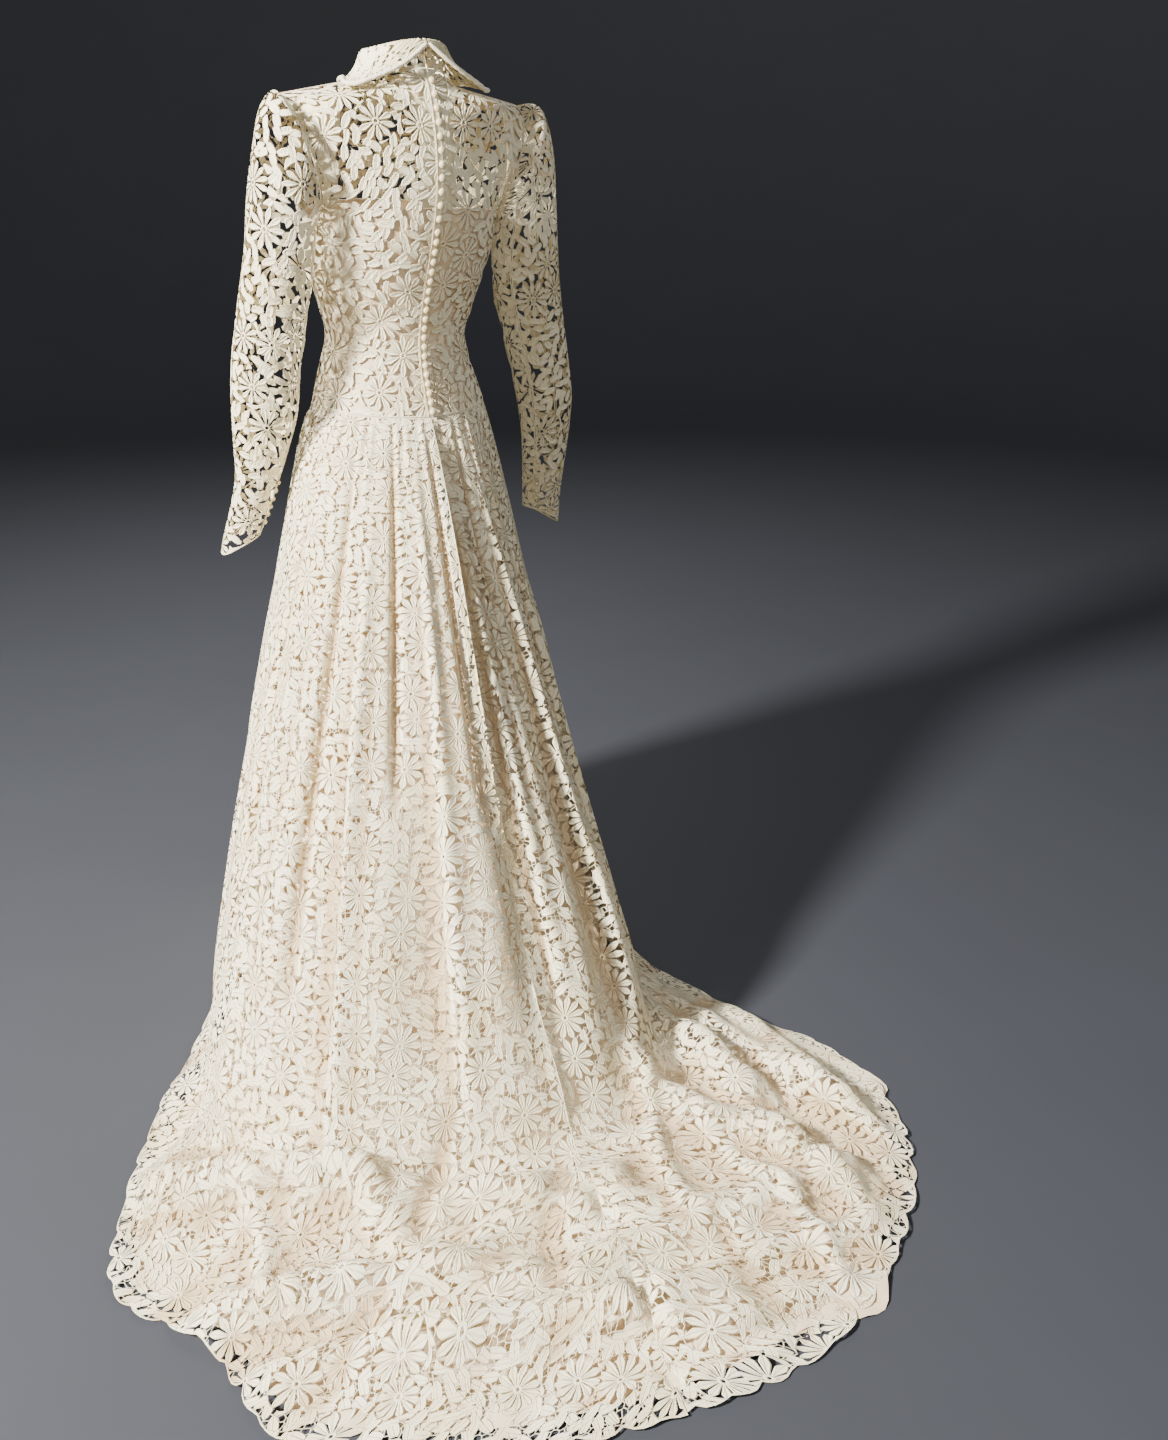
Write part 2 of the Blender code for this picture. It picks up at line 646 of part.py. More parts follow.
def add_object(name, verts, faces, material, stance=True):
    """Make a mesh object, lowered so that the shoulder line is at the origin."""
    mesh = bpy.data.meshes.new(name)
    placed = [stand(vert) if stance else vert for vert in verts]
    lowered = [(x, y, z - SHOULDER_HEIGHT) for x, y, z in placed]
    mesh.from_pydata(lowered, [], faces)
    mesh.update()
    mesh.materials.append(material)
    mesh.shade_smooth()
    mesh.set_sharp_from_angle(angle=math.radians(45.0))
    piece = bpy.data.objects.new(name, mesh)
    bpy.context.scene.collection.objects.link(piece)
    return piece


def signed_volume(verts, faces):
    """Six times the volume that the faces enclose, positive where they point out."""
    total = 0.0
    for face in faces:
        first = verts[face[0]]
        for index in range(1, len(face) - 1):
            total += first.dot(verts[face[index]].cross(verts[face[index + 1]]))
    return total


CELL = [(0.0, 0.0), (1.0, 0.0), (1.0, 1.0), (0.0, 1.0)]


def turn_of(a, b, c):
    """Positive where three points in a cell turn to the left."""
    return (b[0] - a[0]) * (c[1] - a[1]) - (b[1] - a[1]) * (c[0] - a[0])


def split_ring(a, b, c, d):
    """Split a four-sided face between a cell's side and its gap into two upright triangles."""
    if min(turn_of(a, b, c), turn_of(a, c, d)) > min(turn_of(a, b, d), turn_of(b, c, d)):
        return (0, 1, 2), (0, 2, 3)
    return (0, 1, 3), (1, 2, 3)


def wall(name, surface, us, vs, outer, inner, facing, material, square=None, gaps=None,
         stance=True, closed=False):
    """A cloth wall over a surface. outer and inner are how far its two faces stand from the
    surface, square turns a border normal into the seam's plane, and gaps holds the four corners
    of each opening in the lace, in shares of its cell. stance is off for the skirt, whose
    surface already stands. closed is on where the surface goes on past the piece's seams."""
    verts = []
    grids = ([], [])
    for u in us:
        for grid in grids:
            grid.append([])
        for v in vs:
            point = surface(u, v)
            normal = surface_normal(surface, u, v, facing, closed)
            if square:
                normal = square(u, v, normal)
            near = outer(u, v) if callable(outer) else outer
            far = inner(u, v) if callable(inner) else inner
            for grid, offset in zip(grids, (near, far)):
                grid[-1].append(len(verts))
                verts.append(point + normal * offset)
    faces = []
    gaps = gaps or {}
    for i in range(len(us) - 1):
        for j in range(len(vs) - 1):
            corners = [[grid[i][j], grid[i + 1][j], grid[i + 1][j + 1], grid[i][j + 1]]
                       for grid in grids]
            if (i, j) not in gaps:
                a, b, c, d = corners[0]
                faces += [(a, b, c), (a, c, d)]
                a, b, c, d = corners[1]
                faces += [(c, b, a), (d, c, a)]
                continue
            holes = []
            for loop in corners:
                base = len(verts)
                holes.append([base + index for index in range(4)])
                a, b, c, d = (verts[index] for index in loop)
                for along, up in gaps[(i, j)]:
                    verts.append(a.lerp(b, along).lerp(d.lerp(c, along), up))
            for k in range(4):
                n = (k + 1) % 4
                first, second = split_ring(CELL[k], CELL[n], gaps[(i, j)][n], gaps[(i, j)][k])
                for triangle in (first, second):
                    loops = [(corners[side][k], corners[side][n], holes[side][n],
                              holes[side][k]) for side in (0, 1)]
                    faces.append(tuple(loops[0][index] for index in triangle))
                    faces.append(tuple(loops[1][index] for index in reversed(triangle)))
                faces.append((holes[0][k], holes[0][n], holes[1][n], holes[1][k]))
    border = [(i, 0) for i in range(len(us) - 1)]
    border += [(len(us) - 1, j) for j in range(len(vs) - 1)]
    border += [(i, len(vs) - 1) for i in range(len(us) - 1, 0, -1)]
    border += [(0, j) for j in range(len(vs) - 1, 0, -1)]
    for (i, j), (k, m) in zip(border, border[1:] + border[:1]):
        faces.append((grids[0][k][m], grids[0][i][j], grids[1][i][j], grids[1][k][m]))
    if signed_volume(verts, faces) < 0.0:
        faces = [tuple(reversed(face)) for face in faces]
    return add_object(name, verts, faces, material, stance)


def spread(start, end, count):
    """count + 1 evenly spaced values."""
    return [start + (end - start) * index / count for index in range(count + 1)]


def drop_part(normal, axis):
    """A normal with one axis taken out, for a border that meets another piece."""
    normal = normal.copy()
    normal[axis] = 0.0
    return normal.normalized()


def petal_gap(turn, length, width):
    """A kite-shaped gap between two petals, as four places in a cell."""
    angle = math.radians(turn)
    along = (math.cos(angle) * length / 2.0, math.sin(angle) * length / 2.0)
    across = (-math.sin(angle) * width / 2.0, math.cos(angle) * width / 2.0)
    corners = [(-along[0], -along[1]), (across[0] * -1.0, across[1] * -1.0), along, across]
    corners.sort(key=lambda corner: math.atan2(corner[1], corner[0]))
    start = min(range(4), key=lambda index: abs(
        math.atan2(corners[index][1], corners[index][0]) + 2.356))
    ordered = corners[start:] + corners[:start]
    return [(0.5 + x, 0.5 + y) for x, y in ordered]


GAP_TURNS = [38.0, 104.0, None, 146.0, None]
GAP_LENGTHS = [0.62, 0.70, None, 0.60, None]
GAP_WIDTH = 0.42


def lace_gaps(columns, rows, margin_rows, skip, shift=0):
    """Gaps on a staggered repeat: each flower leaves a gap on most sides and its heart whole."""
    gaps = {}
    for i in range(columns):
        for j in range(margin_rows[0], rows - margin_rows[1]):
            phase = (i + 2 * j + shift) % len(GAP_TURNS)
            if GAP_TURNS[phase] is None or skip(i, j):
                continue
            gaps[(i, j)] = petal_gap(GAP_TURNS[phase], GAP_LENGTHS[phase], GAP_WIDTH)
    return gaps


def front_shares():
    """The front's columns, from the right side seam to the left one."""
    both = [-u for u in reversed(FRONT_US)] + FRONT_US[1:]
    return [(u + 1.0) / 2.0 for u in both]


def build_bodice():
    """Lace front, cut on the fold, and two lace backs that meet at the buttons."""
    vs = spread(0.0, 1.0, BODICE_LEVELS)

    def square(u, v, normal):
        if v == 0.0:
            normal = drop_part(normal, 2)
        if abs(u) < 1e-9:
            normal = drop_part(normal, 0)
        if abs(abs(u) - 1.0) < 1e-9 and v <= UNDERARM_LEVEL + 1e-6:
            normal = drop_part(normal, 1)
        if v == 1.0 and abs(u) >= NECK_SHARE - 1e-6:
            normal = drop_part(normal, 1)
        return normal

    for side, label in ((LEFT, "left"), (RIGHT, "right")):
        def back(u, v, side=side):
            point = bodice_point(u, v, BACK)
            return Vector((side * (point.x + SEAM_GAP / 2.0), point.y + SEAM_GAP, point.z))
        gaps = lace_gaps(len(BACK_US) - 1, BODICE_LEVELS, (LINING_ROWS, 1),
                         lambda i, j: i < 2 or i > 6)
        wall("bodice_back_" + label, back, BACK_US, vs, 0.0, -LACE, -side, lace_material(),
             square, gaps)

    def front(u, v):
        point = bodice_point(abs(u), v, FRONT)
        return Vector((math.copysign(point.x, u) if abs(u) > 1e-9 else 0.0, point.y, point.z))

    def front_share(share, v):
        return front(2.0 * share - 1.0, v)

    def front_square(share, v, normal):
        u = 2.0 * share - 1.0
        if v == 0.0:
            normal = drop_part(normal, 2)
        if abs(abs(u) - 1.0) < 1e-9 and v <= UNDERARM_LEVEL + 1e-6:
            normal = drop_part(normal, 1)
        if v == 1.0 and abs(u) >= NECK_SHARE - 1e-6:
            normal = drop_part(normal, 1)
        return normal

    wall("bodice_front", front_share, front_shares(), vs, 0.0, -LACE, 1.0, lace_material(),
         front_square, None)


def build_sleeves():
    """Each sleeve is cut in two pieces: a top sleeve and an under sleeve."""
    vs = spread(0.0, 1.0, ROWS_SLEEVE)

    for side, label, rows in ((LEFT, "left", SLEEVE_LEFT), (RIGHT, "right", SLEEVE_RIGHT)):
        for piece, first in (("top", SLEEVE_SEAM_TURN), ("under", SLEEVE_SEAM_TURN + 180.0)):
            def turn_at(u, first=first):
                return (first + SLEEVE_SEAM_TRIM + (180.0 - 2.0 * SLEEVE_SEAM_TRIM) * u) % 360.0

            def surface(u, v, rows=rows, side=side, turn_at=turn_at):
                point = sleeve_point(rows, turn_at(u), v)
                return Vector((point.x * side, point.y, point.z))

            def square(u, v, normal, turn_at=turn_at):
                if v > 0.0:
                    return normal
                seam = armhole_seam(turn_at(u))
                return Vector((0.0, seam.y, seam.z - ARMHOLE_MIDDLE)).normalized()

            gaps = lace_gaps(COLUMNS_SLEEVE, ROWS_SLEEVE, (1, 1),
                             lambda i, j: i in (0, COLUMNS_SLEEVE - 1), 2)
            wall("sleeve_%s_%s" % (label, piece), surface, spread(0.0, 1.0, COLUMNS_SLEEVE),
                 vs, 0.0, -LACE, side, lace_material(), square, gaps, True, True)


def build_collar():
    """A turned-down collar in two halves, each with a point over the shoulder."""
    us = spread(0.0, 1.0, 11)
    vs = [0.0, 0.18, COLLAR_STAND_PART, 0.43, COLLAR_ROLL_PART, 0.75, 1.0]
    for side, label in ((LEFT, "left"), (RIGHT, "right")):
        def surface(u, v, side=side):
            point = collar_point(COLLAR_END + (1.0 - 2.0 * COLLAR_END) * u, v)
            return Vector((point.x * side, point.y, point.z))
        wall("collar_" + label, surface, us, vs, 0.0, -LACE, side, lace_material())


def lining_level(face, share):
    """The level of the strapless lining's top edge."""
    target = LINING_TOP_BACK - LINING_DIP_BACK * share ** 4
    if face == FRONT:
        target = LINING_TOP_FRONT - LINING_DIP_FRONT * share ** 2
    low = 0.0
    high = 1.0
    for _ in range(30):
        middle = (low + high) / 2.0
        if bodice_point(share, middle, face).z < target:
            low = middle
        else:
            high = middle
    return low


def build_bodice_lining():
    """A strapless satin lining that ends straight across below the shoulders."""
    near = -(LACE + LINING_GAP)
    far = near - SATIN

    def square(u, v, normal):
        if v == 0.0:
            normal = drop_part(normal, 2)
        if abs(u) < 1e-9:
            normal = drop_part(normal, 0)
        if abs(abs(u) - 1.0) < 1e-9:
            normal = drop_part(normal, 1)
        return normal

    top_back = [lining_level(BACK, index / 40.0) for index in range(41)]
    top_front = [lining_level(FRONT, index / 40.0) for index in range(41)]

    def top(table, share):
        place = min(max(share, 0.0), 1.0) * 40.0
        low = min(int(place), 39)
        return table[low] + (table[low + 1] - table[low]) * (place - low)

    vs = spread(0.0, 1.0, LINING_ROWS + 1)

    def level_at(v, highest):
        row = v * (LINING_ROWS + 1)
        if row <= LINING_ROWS:
            return row / BODICE_LEVELS
        start = LINING_ROWS / BODICE_LEVELS
        return start + (highest - start) * (row - LINING_ROWS)

    for side, label in ((LEFT, "left"), (RIGHT, "right")):
        def back(u, v, side=side):
            point = panel_point(u, level_at(v, top(top_back, u)), BACK)
            return Vector((side * (point.x + SEAM_GAP / 2.0), point.y + SEAM_GAP, point.z))
        wall("lining_back_" + label, back, BACK_US, vs, near, far, -side, satin_material(), square)

    def front(share, v):
        u = 2.0 * share - 1.0
        point = panel_point(abs(u), level_at(v, top(top_front, abs(u))), FRONT)
        return Vector((math.copysign(point.x, u) if abs(u) > 1e-9 else 0.0, point.y, point.z))

    def front_square(share, v, normal):
        u = 2.0 * share - 1.0
        if v == 0.0:
            normal = drop_part(normal, 2)
        if abs(abs(u) - 1.0) < 1e-9:
            normal = drop_part(normal, 1)
        return normal

    wall("lining_front", front, front_shares(), vs, near, far, 1.0, satin_material(),
         front_square)


def level_above(low, v):
    """Bodice levels from the lining's top edge to just under the neck, on the bodice's rows."""
    row = FACING_ROW + (BODICE_LEVELS - FACING_ROW) * v
    first = FACING_ROW + 1
    if row < first:
        return low + (first / BODICE_LEVELS - low) * (row - FACING_ROW)
    if row > BODICE_LEVELS - 1:
        last = (BODICE_LEVELS - 1) / BODICE_LEVELS
        return last + (FACING_TOP - last) * (row - BODICE_LEVELS + 1)
    return row / BODICE_LEVELS


def build_facings():
    """Narrow facings behind the buttons, from the lining's top edge up to the neck."""
    near = -(LACE + FACING_GAP)
    far = near - SATIN
    low = lining_level(BACK, 0.0) + FACING_OVERLAP

    def square(u, v, normal):
        if abs(u) < 1e-9:
            normal = drop_part(normal, 0)
        return normal

    for side, label in ((LEFT, "left"), (RIGHT, "right")):
        def surface(u, v, side=side):
            level = level_above(low, v)
            width = FACING_WIDTH + FACING_SPREAD * smooth_step((v - 0.6) / 0.4)
            share = BACK_US[1] * u * 2.0 if u <= 0.5 else (
                BACK_US[1] + (width - BACK_US[1]) * (u - 0.5) * 2.0)
            point = panel_point(share, level, BACK)
            return Vector((side * (point.x + SEAM_GAP / 2.0), point.y + SEAM_GAP, point.z))
        wall("facing_" + label, surface, spread(0.0, 1.0, 2),
             spread(0.0, 1.0, BODICE_LEVELS - FACING_ROW), near, far, -side, trim_material(),
             square)


def build_pads():
    """A padded crescent under each back armhole seam, widest at the shoulder."""
    near = -(LACE + PAD_GAP)
    low = UNDERARM_LEVEL + PAD_START

    for side, label in ((LEFT, "left"), (RIGHT, "right")):
        def surface(u, v, side=side):
            width = PAD_WIDTH * smooth_step(v * 1.15) + 0.02
            share = PAD_EDGE - width * (1.0 - u)
            point = panel_point(share, level_above(low, v), BACK)
            return Vector((point.x * side, point.y + SEAM_GAP, point.z))

        def depth(u, v):
            return near - PAD_LEAST - PAD_DEPTH * math.sin(math.pi * (0.15 + 0.7 * u)) * v ** 0.5

        wall("shoulder_pad_" + label, surface, spread(0.0, 1.0, 3),
             spread(0.0, 1.0, BODICE_LEVELS - FACING_ROW), near, depth, -side, trim_material())


SkirtPiece = namedtuple("SkirtPiece", "name start end")

SKIRT_PIECES = [
    SkirtPiece("front", -0.140, 0.140),
    SkirtPiece("side_left", 0.140, 0.325),
    SkirtPiece("back_left", 0.325, 0.500),
    SkirtPiece("back_right", 0.500, 0.690),
    SkirtPiece("side_right", 0.690, 0.860),
]
LINING_PIECES = [
    SkirtPiece("front", -0.140, 0.140),
    SkirtPiece("left", 0.140, 0.400),
    SkirtPiece("back", 0.400, 0.600),
    SkirtPiece("right", 0.600, 0.860),
]
LACE_LEVELS = [0.0, 0.05, 0.11, 0.18, 0.26, 0.35, 0.44, 0.53, 0.61, 0.68, 0.74, 0.80, 0.86,
               0.93, 1.0]
LINING_LEVELS = [0.0, 0.11, 0.26, 0.44, 0.61, 0.68, 0.74, 0.80, 0.86, 0.93, 1.0]
COLUMN_ROOM = 0.007


def square_waist(u, v, normal):
    """Keep the wall level where it meets the bodice."""
    return drop_part(normal, 2) if v == 0.0 else normal


def gore_surface(piece, point_at, hem):
    """One gore of the skirt, a seam gap clear of its neighbours and of the bodice."""
    def surface(u, v):
        trim = SKIRT_SEAM / (1.0 + 2.0 * v)
        share = piece.start + trim + (piece.end - piece.start - 2.0 * trim) * u
        point = point_at(share, v * hem(share))
        point.z -= SEAM_GAP * (1.0 - v)
        return point
    return surface


def gore_columns(piece):
    """Columns along the crest and the trough of every flute and half way between them, as
    shares of the gore's width."""
    centres = sorted({(flute.share + turn) for flute in FLUTES for turn in (-1.0, 0.0, 1.0)})
    middles = [(low + high) / 2.0 for low, high in zip(centres, centres[1:])]
    inside = [share for share in sorted(centres + middles)
              if piece.start + COLUMN_ROOM < share < piece.end - COLUMN_ROOM]
    width = piece.end - piece.start
    return [0.0] + [(share - piece.start) / width for share in inside] + [1.0]


def lining_hem(share):
    """Where the lining ends on the lace's own length: short of it, but past it at two places."""
    level = LINING_HEM
    for show in LINING_SHOWS:
        away = (share - show.share) / show.width
        level += show.past * math.exp(-away * away)
    return level


def build_skirt():
    """Lace gores from the dropped waist to the train's hem, and satin gores under them."""
    for piece in SKIRT_PIECES:
        surface = gore_surface(piece, skirt_point, lambda share: 1.0)
        wall("skirt_" + piece.name, surface, gore_columns(piece), LACE_LEVELS,
             0.0, -LACE, -1.0, lace_material(), square_waist, None, False, True)
    for piece in LINING_PIECES:
        surface = gore_surface(piece, lining_point, lining_hem)
        wall("lining_skirt_" + piece.name, surface, gore_columns(piece), LINING_LEVELS,
             0.0, -SATIN, -1.0, satin_material(), square_waist, None, False, True)


def button_mesh(width, height):
    """A covered button: a domed cap over a flat back, as a turned outline."""
    sides = 8
    outline = [(0.50, 0.26), (0.36, 0.78)]
    verts = [Vector((0.0, 0.0, 0.0))]
    for radius, rise in outline:
        for side in range(sides):
            angle = 2.0 * math.pi * side / sides
            verts.append(Vector((math.cos(angle) * radius * width,
                                 math.sin(angle) * radius * width, rise * height)))
    verts.append(Vector((0.0, 0.0, height)))
    faces = []
    last = len(verts) - 1
    for side in range(sides):
        after = (side + 1) % sides
        faces.append((0, 1 + after, 1 + side))
        for ring in range(len(outline) - 1):
            base = 1 + ring * sides
            faces.append((base + side, base + after, base + sides + after, base + sides + side))
        base = 1 + (len(outline) - 1) * sides
        faces.append((base + side, base + after, last))
    return verts, faces


def button_height(index):
    """The height of a back button above the floor, counted down from the neck."""
    if index < len(COLLAR_BUTTONS):
        return COLLAR_BUTTONS[index]
    index -= len(COLLAR_BUTTONS)
    upper = min(index, BUTTONS_ON_BACK)
    lower = max(index - BUTTONS_ON_BACK, 0)
    return BUTTON_TOP_HEIGHT - upper * BUTTON_PITCH_BACK - lower * BUTTON_PITCH_WAIST


def back_level(height):
    """The bodice level of the centre back at a height."""
    low = 0.0
    high = 1.0
    for _ in range(30):
        middle = (low + high) / 2.0
        if panel_point(0.0, middle, BACK).z < height:
            low = middle
        else:
            high = middle
    return low


def back_place(height, side_step):
    """Where a button's flat back sits, and the way out: on the collar's stand, or across the
    facets of the centre back, a little higher where those curve."""
    if height > NECK_BACK_HEIGHT + COLLAR_BASE:
        part = (height - NECK_BACK_HEIGHT - COLLAR_BASE) / STAND_HEIGHT
        reach = NECK_BACK_REACH - STAND_LEAN * part + LACE + SEAM_GAP
        return Vector((side_step, reach, height)), Vector((0.0, 1.0, 0.0))
    half = BUTTON_WIDTH / 2.0
    low, middle, high = [
        panel_point(0.0, back_level(height + step), BACK) for step in (-half, 0.0, half)]
    normal = Vector((0.0, high.z - low.z, low.y - high.y)).normalized()
    base = (low + high) / 2.0
    bulge = max((middle - base).dot(normal), 0.0)
    seat = BUTTON_SEAT if height < BUTTON_SEAT_TOP else SEAM_GAP
    point = base + normal * (bulge + seat)
    point.x = side_step
    return point, normal


def build_back_buttons():
    """A close row of covered buttons from the collar to the dropped waist."""
    verts, faces = button_mesh(BUTTON_WIDTH, BUTTON_HEIGHT)
    for index in range(BUTTON_COUNT):
        point, normal = back_place(button_height(index), BUTTON_SIDE_STEP)
        turn = normal.to_track_quat("Z", "Y").to_matrix().to_4x4()
        frame = Matrix.Translation(point) @ turn
        add_object("button_%02d" % (index + 1), [frame @ vert for vert in verts], faces,
                   trim_material())


CUFF_RING = [(-1.0, 0.0), (1.0, 0.0), (0.9, 0.6), (0.0, 1.0), (-0.9, 0.6)]


def build_cuff_buttons():
    """Small covered buttons on a short looped strip along each cuff's seam."""
    for side, label, rows in ((LEFT, "left", SLEEVE_LEFT), (RIGHT, "right", SLEEVE_RIGHT)):
        turn = SLEEVE_SEAM_TURN + CUFF_BUTTON_TURN

        def surface(u, v, rows=rows, side=side, turn=turn):
            point = sleeve_point(rows, turn + 12.0 * (u - 0.5), 0.83 + 0.13 * v)
            return Vector((point.x * side, point.y, point.z))

        verts = []
        faces = []
        count = CUFF_BUTTON_COUNT * 2
        rings = []
        for step in range(count + 1):
            v = step / count
            bump = 1.0 if step % 2 else 0.28
            middle = surface(0.5, v)
            normal = surface_normal(surface, 0.5, v, side)
            along = (surface(0.5, min(v + 0.01, 1.0)) - surface(0.5, max(v - 0.01, 0.0)))
            across = normal.cross(along.normalized()).normalized()
            half = CUFF_BUTTON_WIDTH / 2.0 * bump
            rise = CUFF_BUTTON_WIDTH * 0.55 * bump
            ring = []
            for part_across, part_up in CUFF_RING:
                ring.append(len(verts))
                verts.append(middle + normal * (CUFF_BUTTON_LIFT + rise * part_up)
                             + across * half * part_across)
            rings.append(ring)
        for ring, after in zip(rings, rings[1:]):
            for k in range(5):
                n = (k + 1) % 5
                faces.append((ring[k], ring[n], after[n], after[k]))
        faces.append(tuple(reversed(rings[0])))
        faces.append(tuple(rings[-1]))
        if signed_volume(verts, faces) < 0.0:
            faces = [tuple(reversed(face)) for face in faces]
        add_object("cuff_buttons_" + label, verts, faces, trim_material())


def clear_scene():
    for piece in list(bpy.data.objects):
        bpy.data.objects.remove(piece, do_unlink=True)


def main():
    clear_scene()
    build_bodice()
    build_sleeves()
    build_collar()
    build_bodice_lining()
    build_facings()
    build_pads()
    build_skirt()
    build_back_buttons()
    build_cuff_buttons()


main()
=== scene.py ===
"""Looks of a long-sleeved lace wedding gown: cut lace, satin lining, covered buttons and seams.

Metres, +Z up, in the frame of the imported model. Heights in the tables are above the floor and
every point is lowered by SHOULDER_HEIGHT, so that the shoulder line is at the origin.
"""

import math
from collections import namedtuple

import bpy
import numpy as np
from bpy.props import FloatProperty, FloatVectorProperty, IntProperty, PointerProperty
from mathutils import Matrix, Vector


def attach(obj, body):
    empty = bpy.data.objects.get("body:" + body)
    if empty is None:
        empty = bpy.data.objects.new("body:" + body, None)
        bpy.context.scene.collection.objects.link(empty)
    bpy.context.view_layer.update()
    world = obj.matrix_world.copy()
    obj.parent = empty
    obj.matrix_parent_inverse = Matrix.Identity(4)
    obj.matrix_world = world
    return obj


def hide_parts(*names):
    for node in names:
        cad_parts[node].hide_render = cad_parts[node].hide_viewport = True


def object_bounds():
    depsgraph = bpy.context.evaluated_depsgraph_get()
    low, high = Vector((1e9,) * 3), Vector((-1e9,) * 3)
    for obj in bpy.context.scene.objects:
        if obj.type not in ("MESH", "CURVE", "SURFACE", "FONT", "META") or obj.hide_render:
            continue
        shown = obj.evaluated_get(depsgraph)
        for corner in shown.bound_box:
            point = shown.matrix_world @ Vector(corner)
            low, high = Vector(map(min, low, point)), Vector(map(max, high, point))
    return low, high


bl_info = {
    "name": "Lace Wedding Gown",
    "version": (1, 0, 0),
    "blender": (4, 5, 0),
    "location": "View3D > Sidebar > Gown",
    "description": "Builds the lace, satin, buttons and seams of a gown with a train",
    "category": "Object",
}

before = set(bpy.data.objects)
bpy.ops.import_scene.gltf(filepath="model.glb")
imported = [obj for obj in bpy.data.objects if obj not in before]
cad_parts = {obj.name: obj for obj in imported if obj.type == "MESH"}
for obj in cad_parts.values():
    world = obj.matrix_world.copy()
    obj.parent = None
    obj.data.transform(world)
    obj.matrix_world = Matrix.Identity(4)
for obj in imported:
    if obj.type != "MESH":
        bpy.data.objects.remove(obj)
CAD_BOX = [list(corner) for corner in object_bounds()]
FLOOR = CAD_BOX[0][2]
BODY = "root"


# Driving sizes
SHOULDER_HEIGHT = 1.42
SEAM_GAP = 0.0003
LACE = 0.0015
SATIN = 0.0012
LINING_GAP = 0.0012
FLOOR_GAP = 0.0002
LACE_LIFT = 0.0100
HEM_LIFT = 0.0042
FALL_SOFTNESS = 0.030
FLUTE_GROWTH = 0.75
ARMHOLE_OPENING_TURN = 110.0
CUFF_DIP = 0.012
CUFF_DIP_START = 0.96
TRAIN_SWEEP = 12.0
LINING_INSET_HEM = 0.0380
FLARE_FRONT = 0.76
FLARE_BACK_LEFT = 0.92
FLARE_BACK_RIGHT = 1.09
BACK_START = 0.05
BACK_REACH = 0.12

NECK_RADIUS = 0.062
NECK_BACK_REACH = 0.080
NECK_BACK_HEIGHT = 1.462
NECK_SIDE_HEIGHT = 1.452
NECK_FRONT_HEIGHT = 1.405
NECK_FRONT_REACH = 0.074
NECK_SHARE = 0.36

ARMHOLE_MIDDLE = 1.340
ARMHOLE_HALF_HEIGHT = 0.085
ARMHOLE_HALF_DEPTH = 0.058

STAND_HEIGHT = 0.036
STAND_LEAN = 0.0020
COLLAR_BASE = 0.0010
ROLL_WIDTH = 0.0042
COLLAR_POINT_ANGLE = 66.0
COLLAR_POINT_LENGTH = 0.088
COLLAR_LENGTH = 0.056
COLLAR_CLEAR = 0.0065
COLLAR_BEND = 2.5
COLLAR_BACK_FALL = 0.006
COLLAR_FRONT_TURN = 22.0
COLLAR_STAND_PART = 0.36
COLLAR_ROLL_PART = 0.50
COLLAR_SIDE_HEIGHT = 1.425
COLLAR_END = 0.006

LINING_TOP_BACK = 1.268
LINING_TOP_FRONT = 1.285
LINING_DIP_BACK = 0.0105
LINING_DIP_FRONT = 0.0275
PAD_DEPTH = 0.007
PAD_GAP = 0.0008
FACING_TOP = 0.985
FACING_WIDTH = 0.14
FACING_SPREAD = 0.10
PAD_LEAST = 0.0015
PAD_EDGE = 0.975
PAD_WIDTH = 0.30
PAD_START = 0.05

BUTTON_WIDTH = 0.0112
BUTTON_HEIGHT = 0.0056
BUTTON_SEAT = 0.0006
BUTTON_SEAT_TOP = 1.4400
BUTTON_COUNT = 33
BUTTON_SIDE_STEP = -0.0035
COLLAR_BUTTONS = [1.4808, 1.4692]
BUTTON_TOP_HEIGHT = 1.4452
BUTTON_PITCH_BACK = 0.01912
BUTTON_PITCH_WAIST = 0.01452
BUTTONS_ON_BACK = 11
CUFF_BUTTON_WIDTH = 0.0085
CUFF_BUTTON_COUNT = 6
CUFF_BUTTON_TURN = 8.0
CUFF_BUTTON_HEIGHT = 0.0046
CUFF_BUTTON_SPREAD = 12.0
CUFF_BUTTONS_START = 0.83
CUFF_BUTTONS_RUN = 0.13


def rows_of(kind, rows):
    """A table's rows, each with the names of its columns."""
    return [kind(*row) for row in rows]


# Bodice sections from the dropped waist up. edge is the side seam, then the armhole seam.
BodiceRow = namedtuple("BodiceRow", "height depth edge_x edge_depth edge_height")

BACK_ROWS = rows_of(BodiceRow, [
    (0.952, 0.117, 0.15, 0.0, 0.972), (1.0, 0.106, 0.137, 0.0, 1.012),
    (1.04, 0.098, 0.126, 0.0, 1.046), (1.078, 0.094, 0.119, 0.0, 1.078),
    (1.125, 0.098, 0.131, 0.0, 1.122), (1.17, 0.105, 0.145, 0.0, 1.165),
    (1.218, 0.112, 0.154, 0.0, 1.212),
])
FRONT_ROWS = rows_of(BodiceRow, [
    (0.952, 0.112, 0.15, 0.0, 0.972), (1.0, 0.104, 0.137, 0.0, 1.012),
    (1.04, 0.097, 0.126, 0.0, 1.046), (1.078, 0.094, 0.119, 0.0, 1.078),
    (1.125, 0.098, 0.131, 0.0, 1.122), (1.165, 0.106, 0.145, 0.0, 1.165),
    (1.205, 0.117, 0.154, 0.0, 1.212),
])

# Above the underarm the edge follows the armhole. turn is the angle up from its lowest point.
YokeRow = namedtuple("YokeRow", "turn height depth armhole_x")

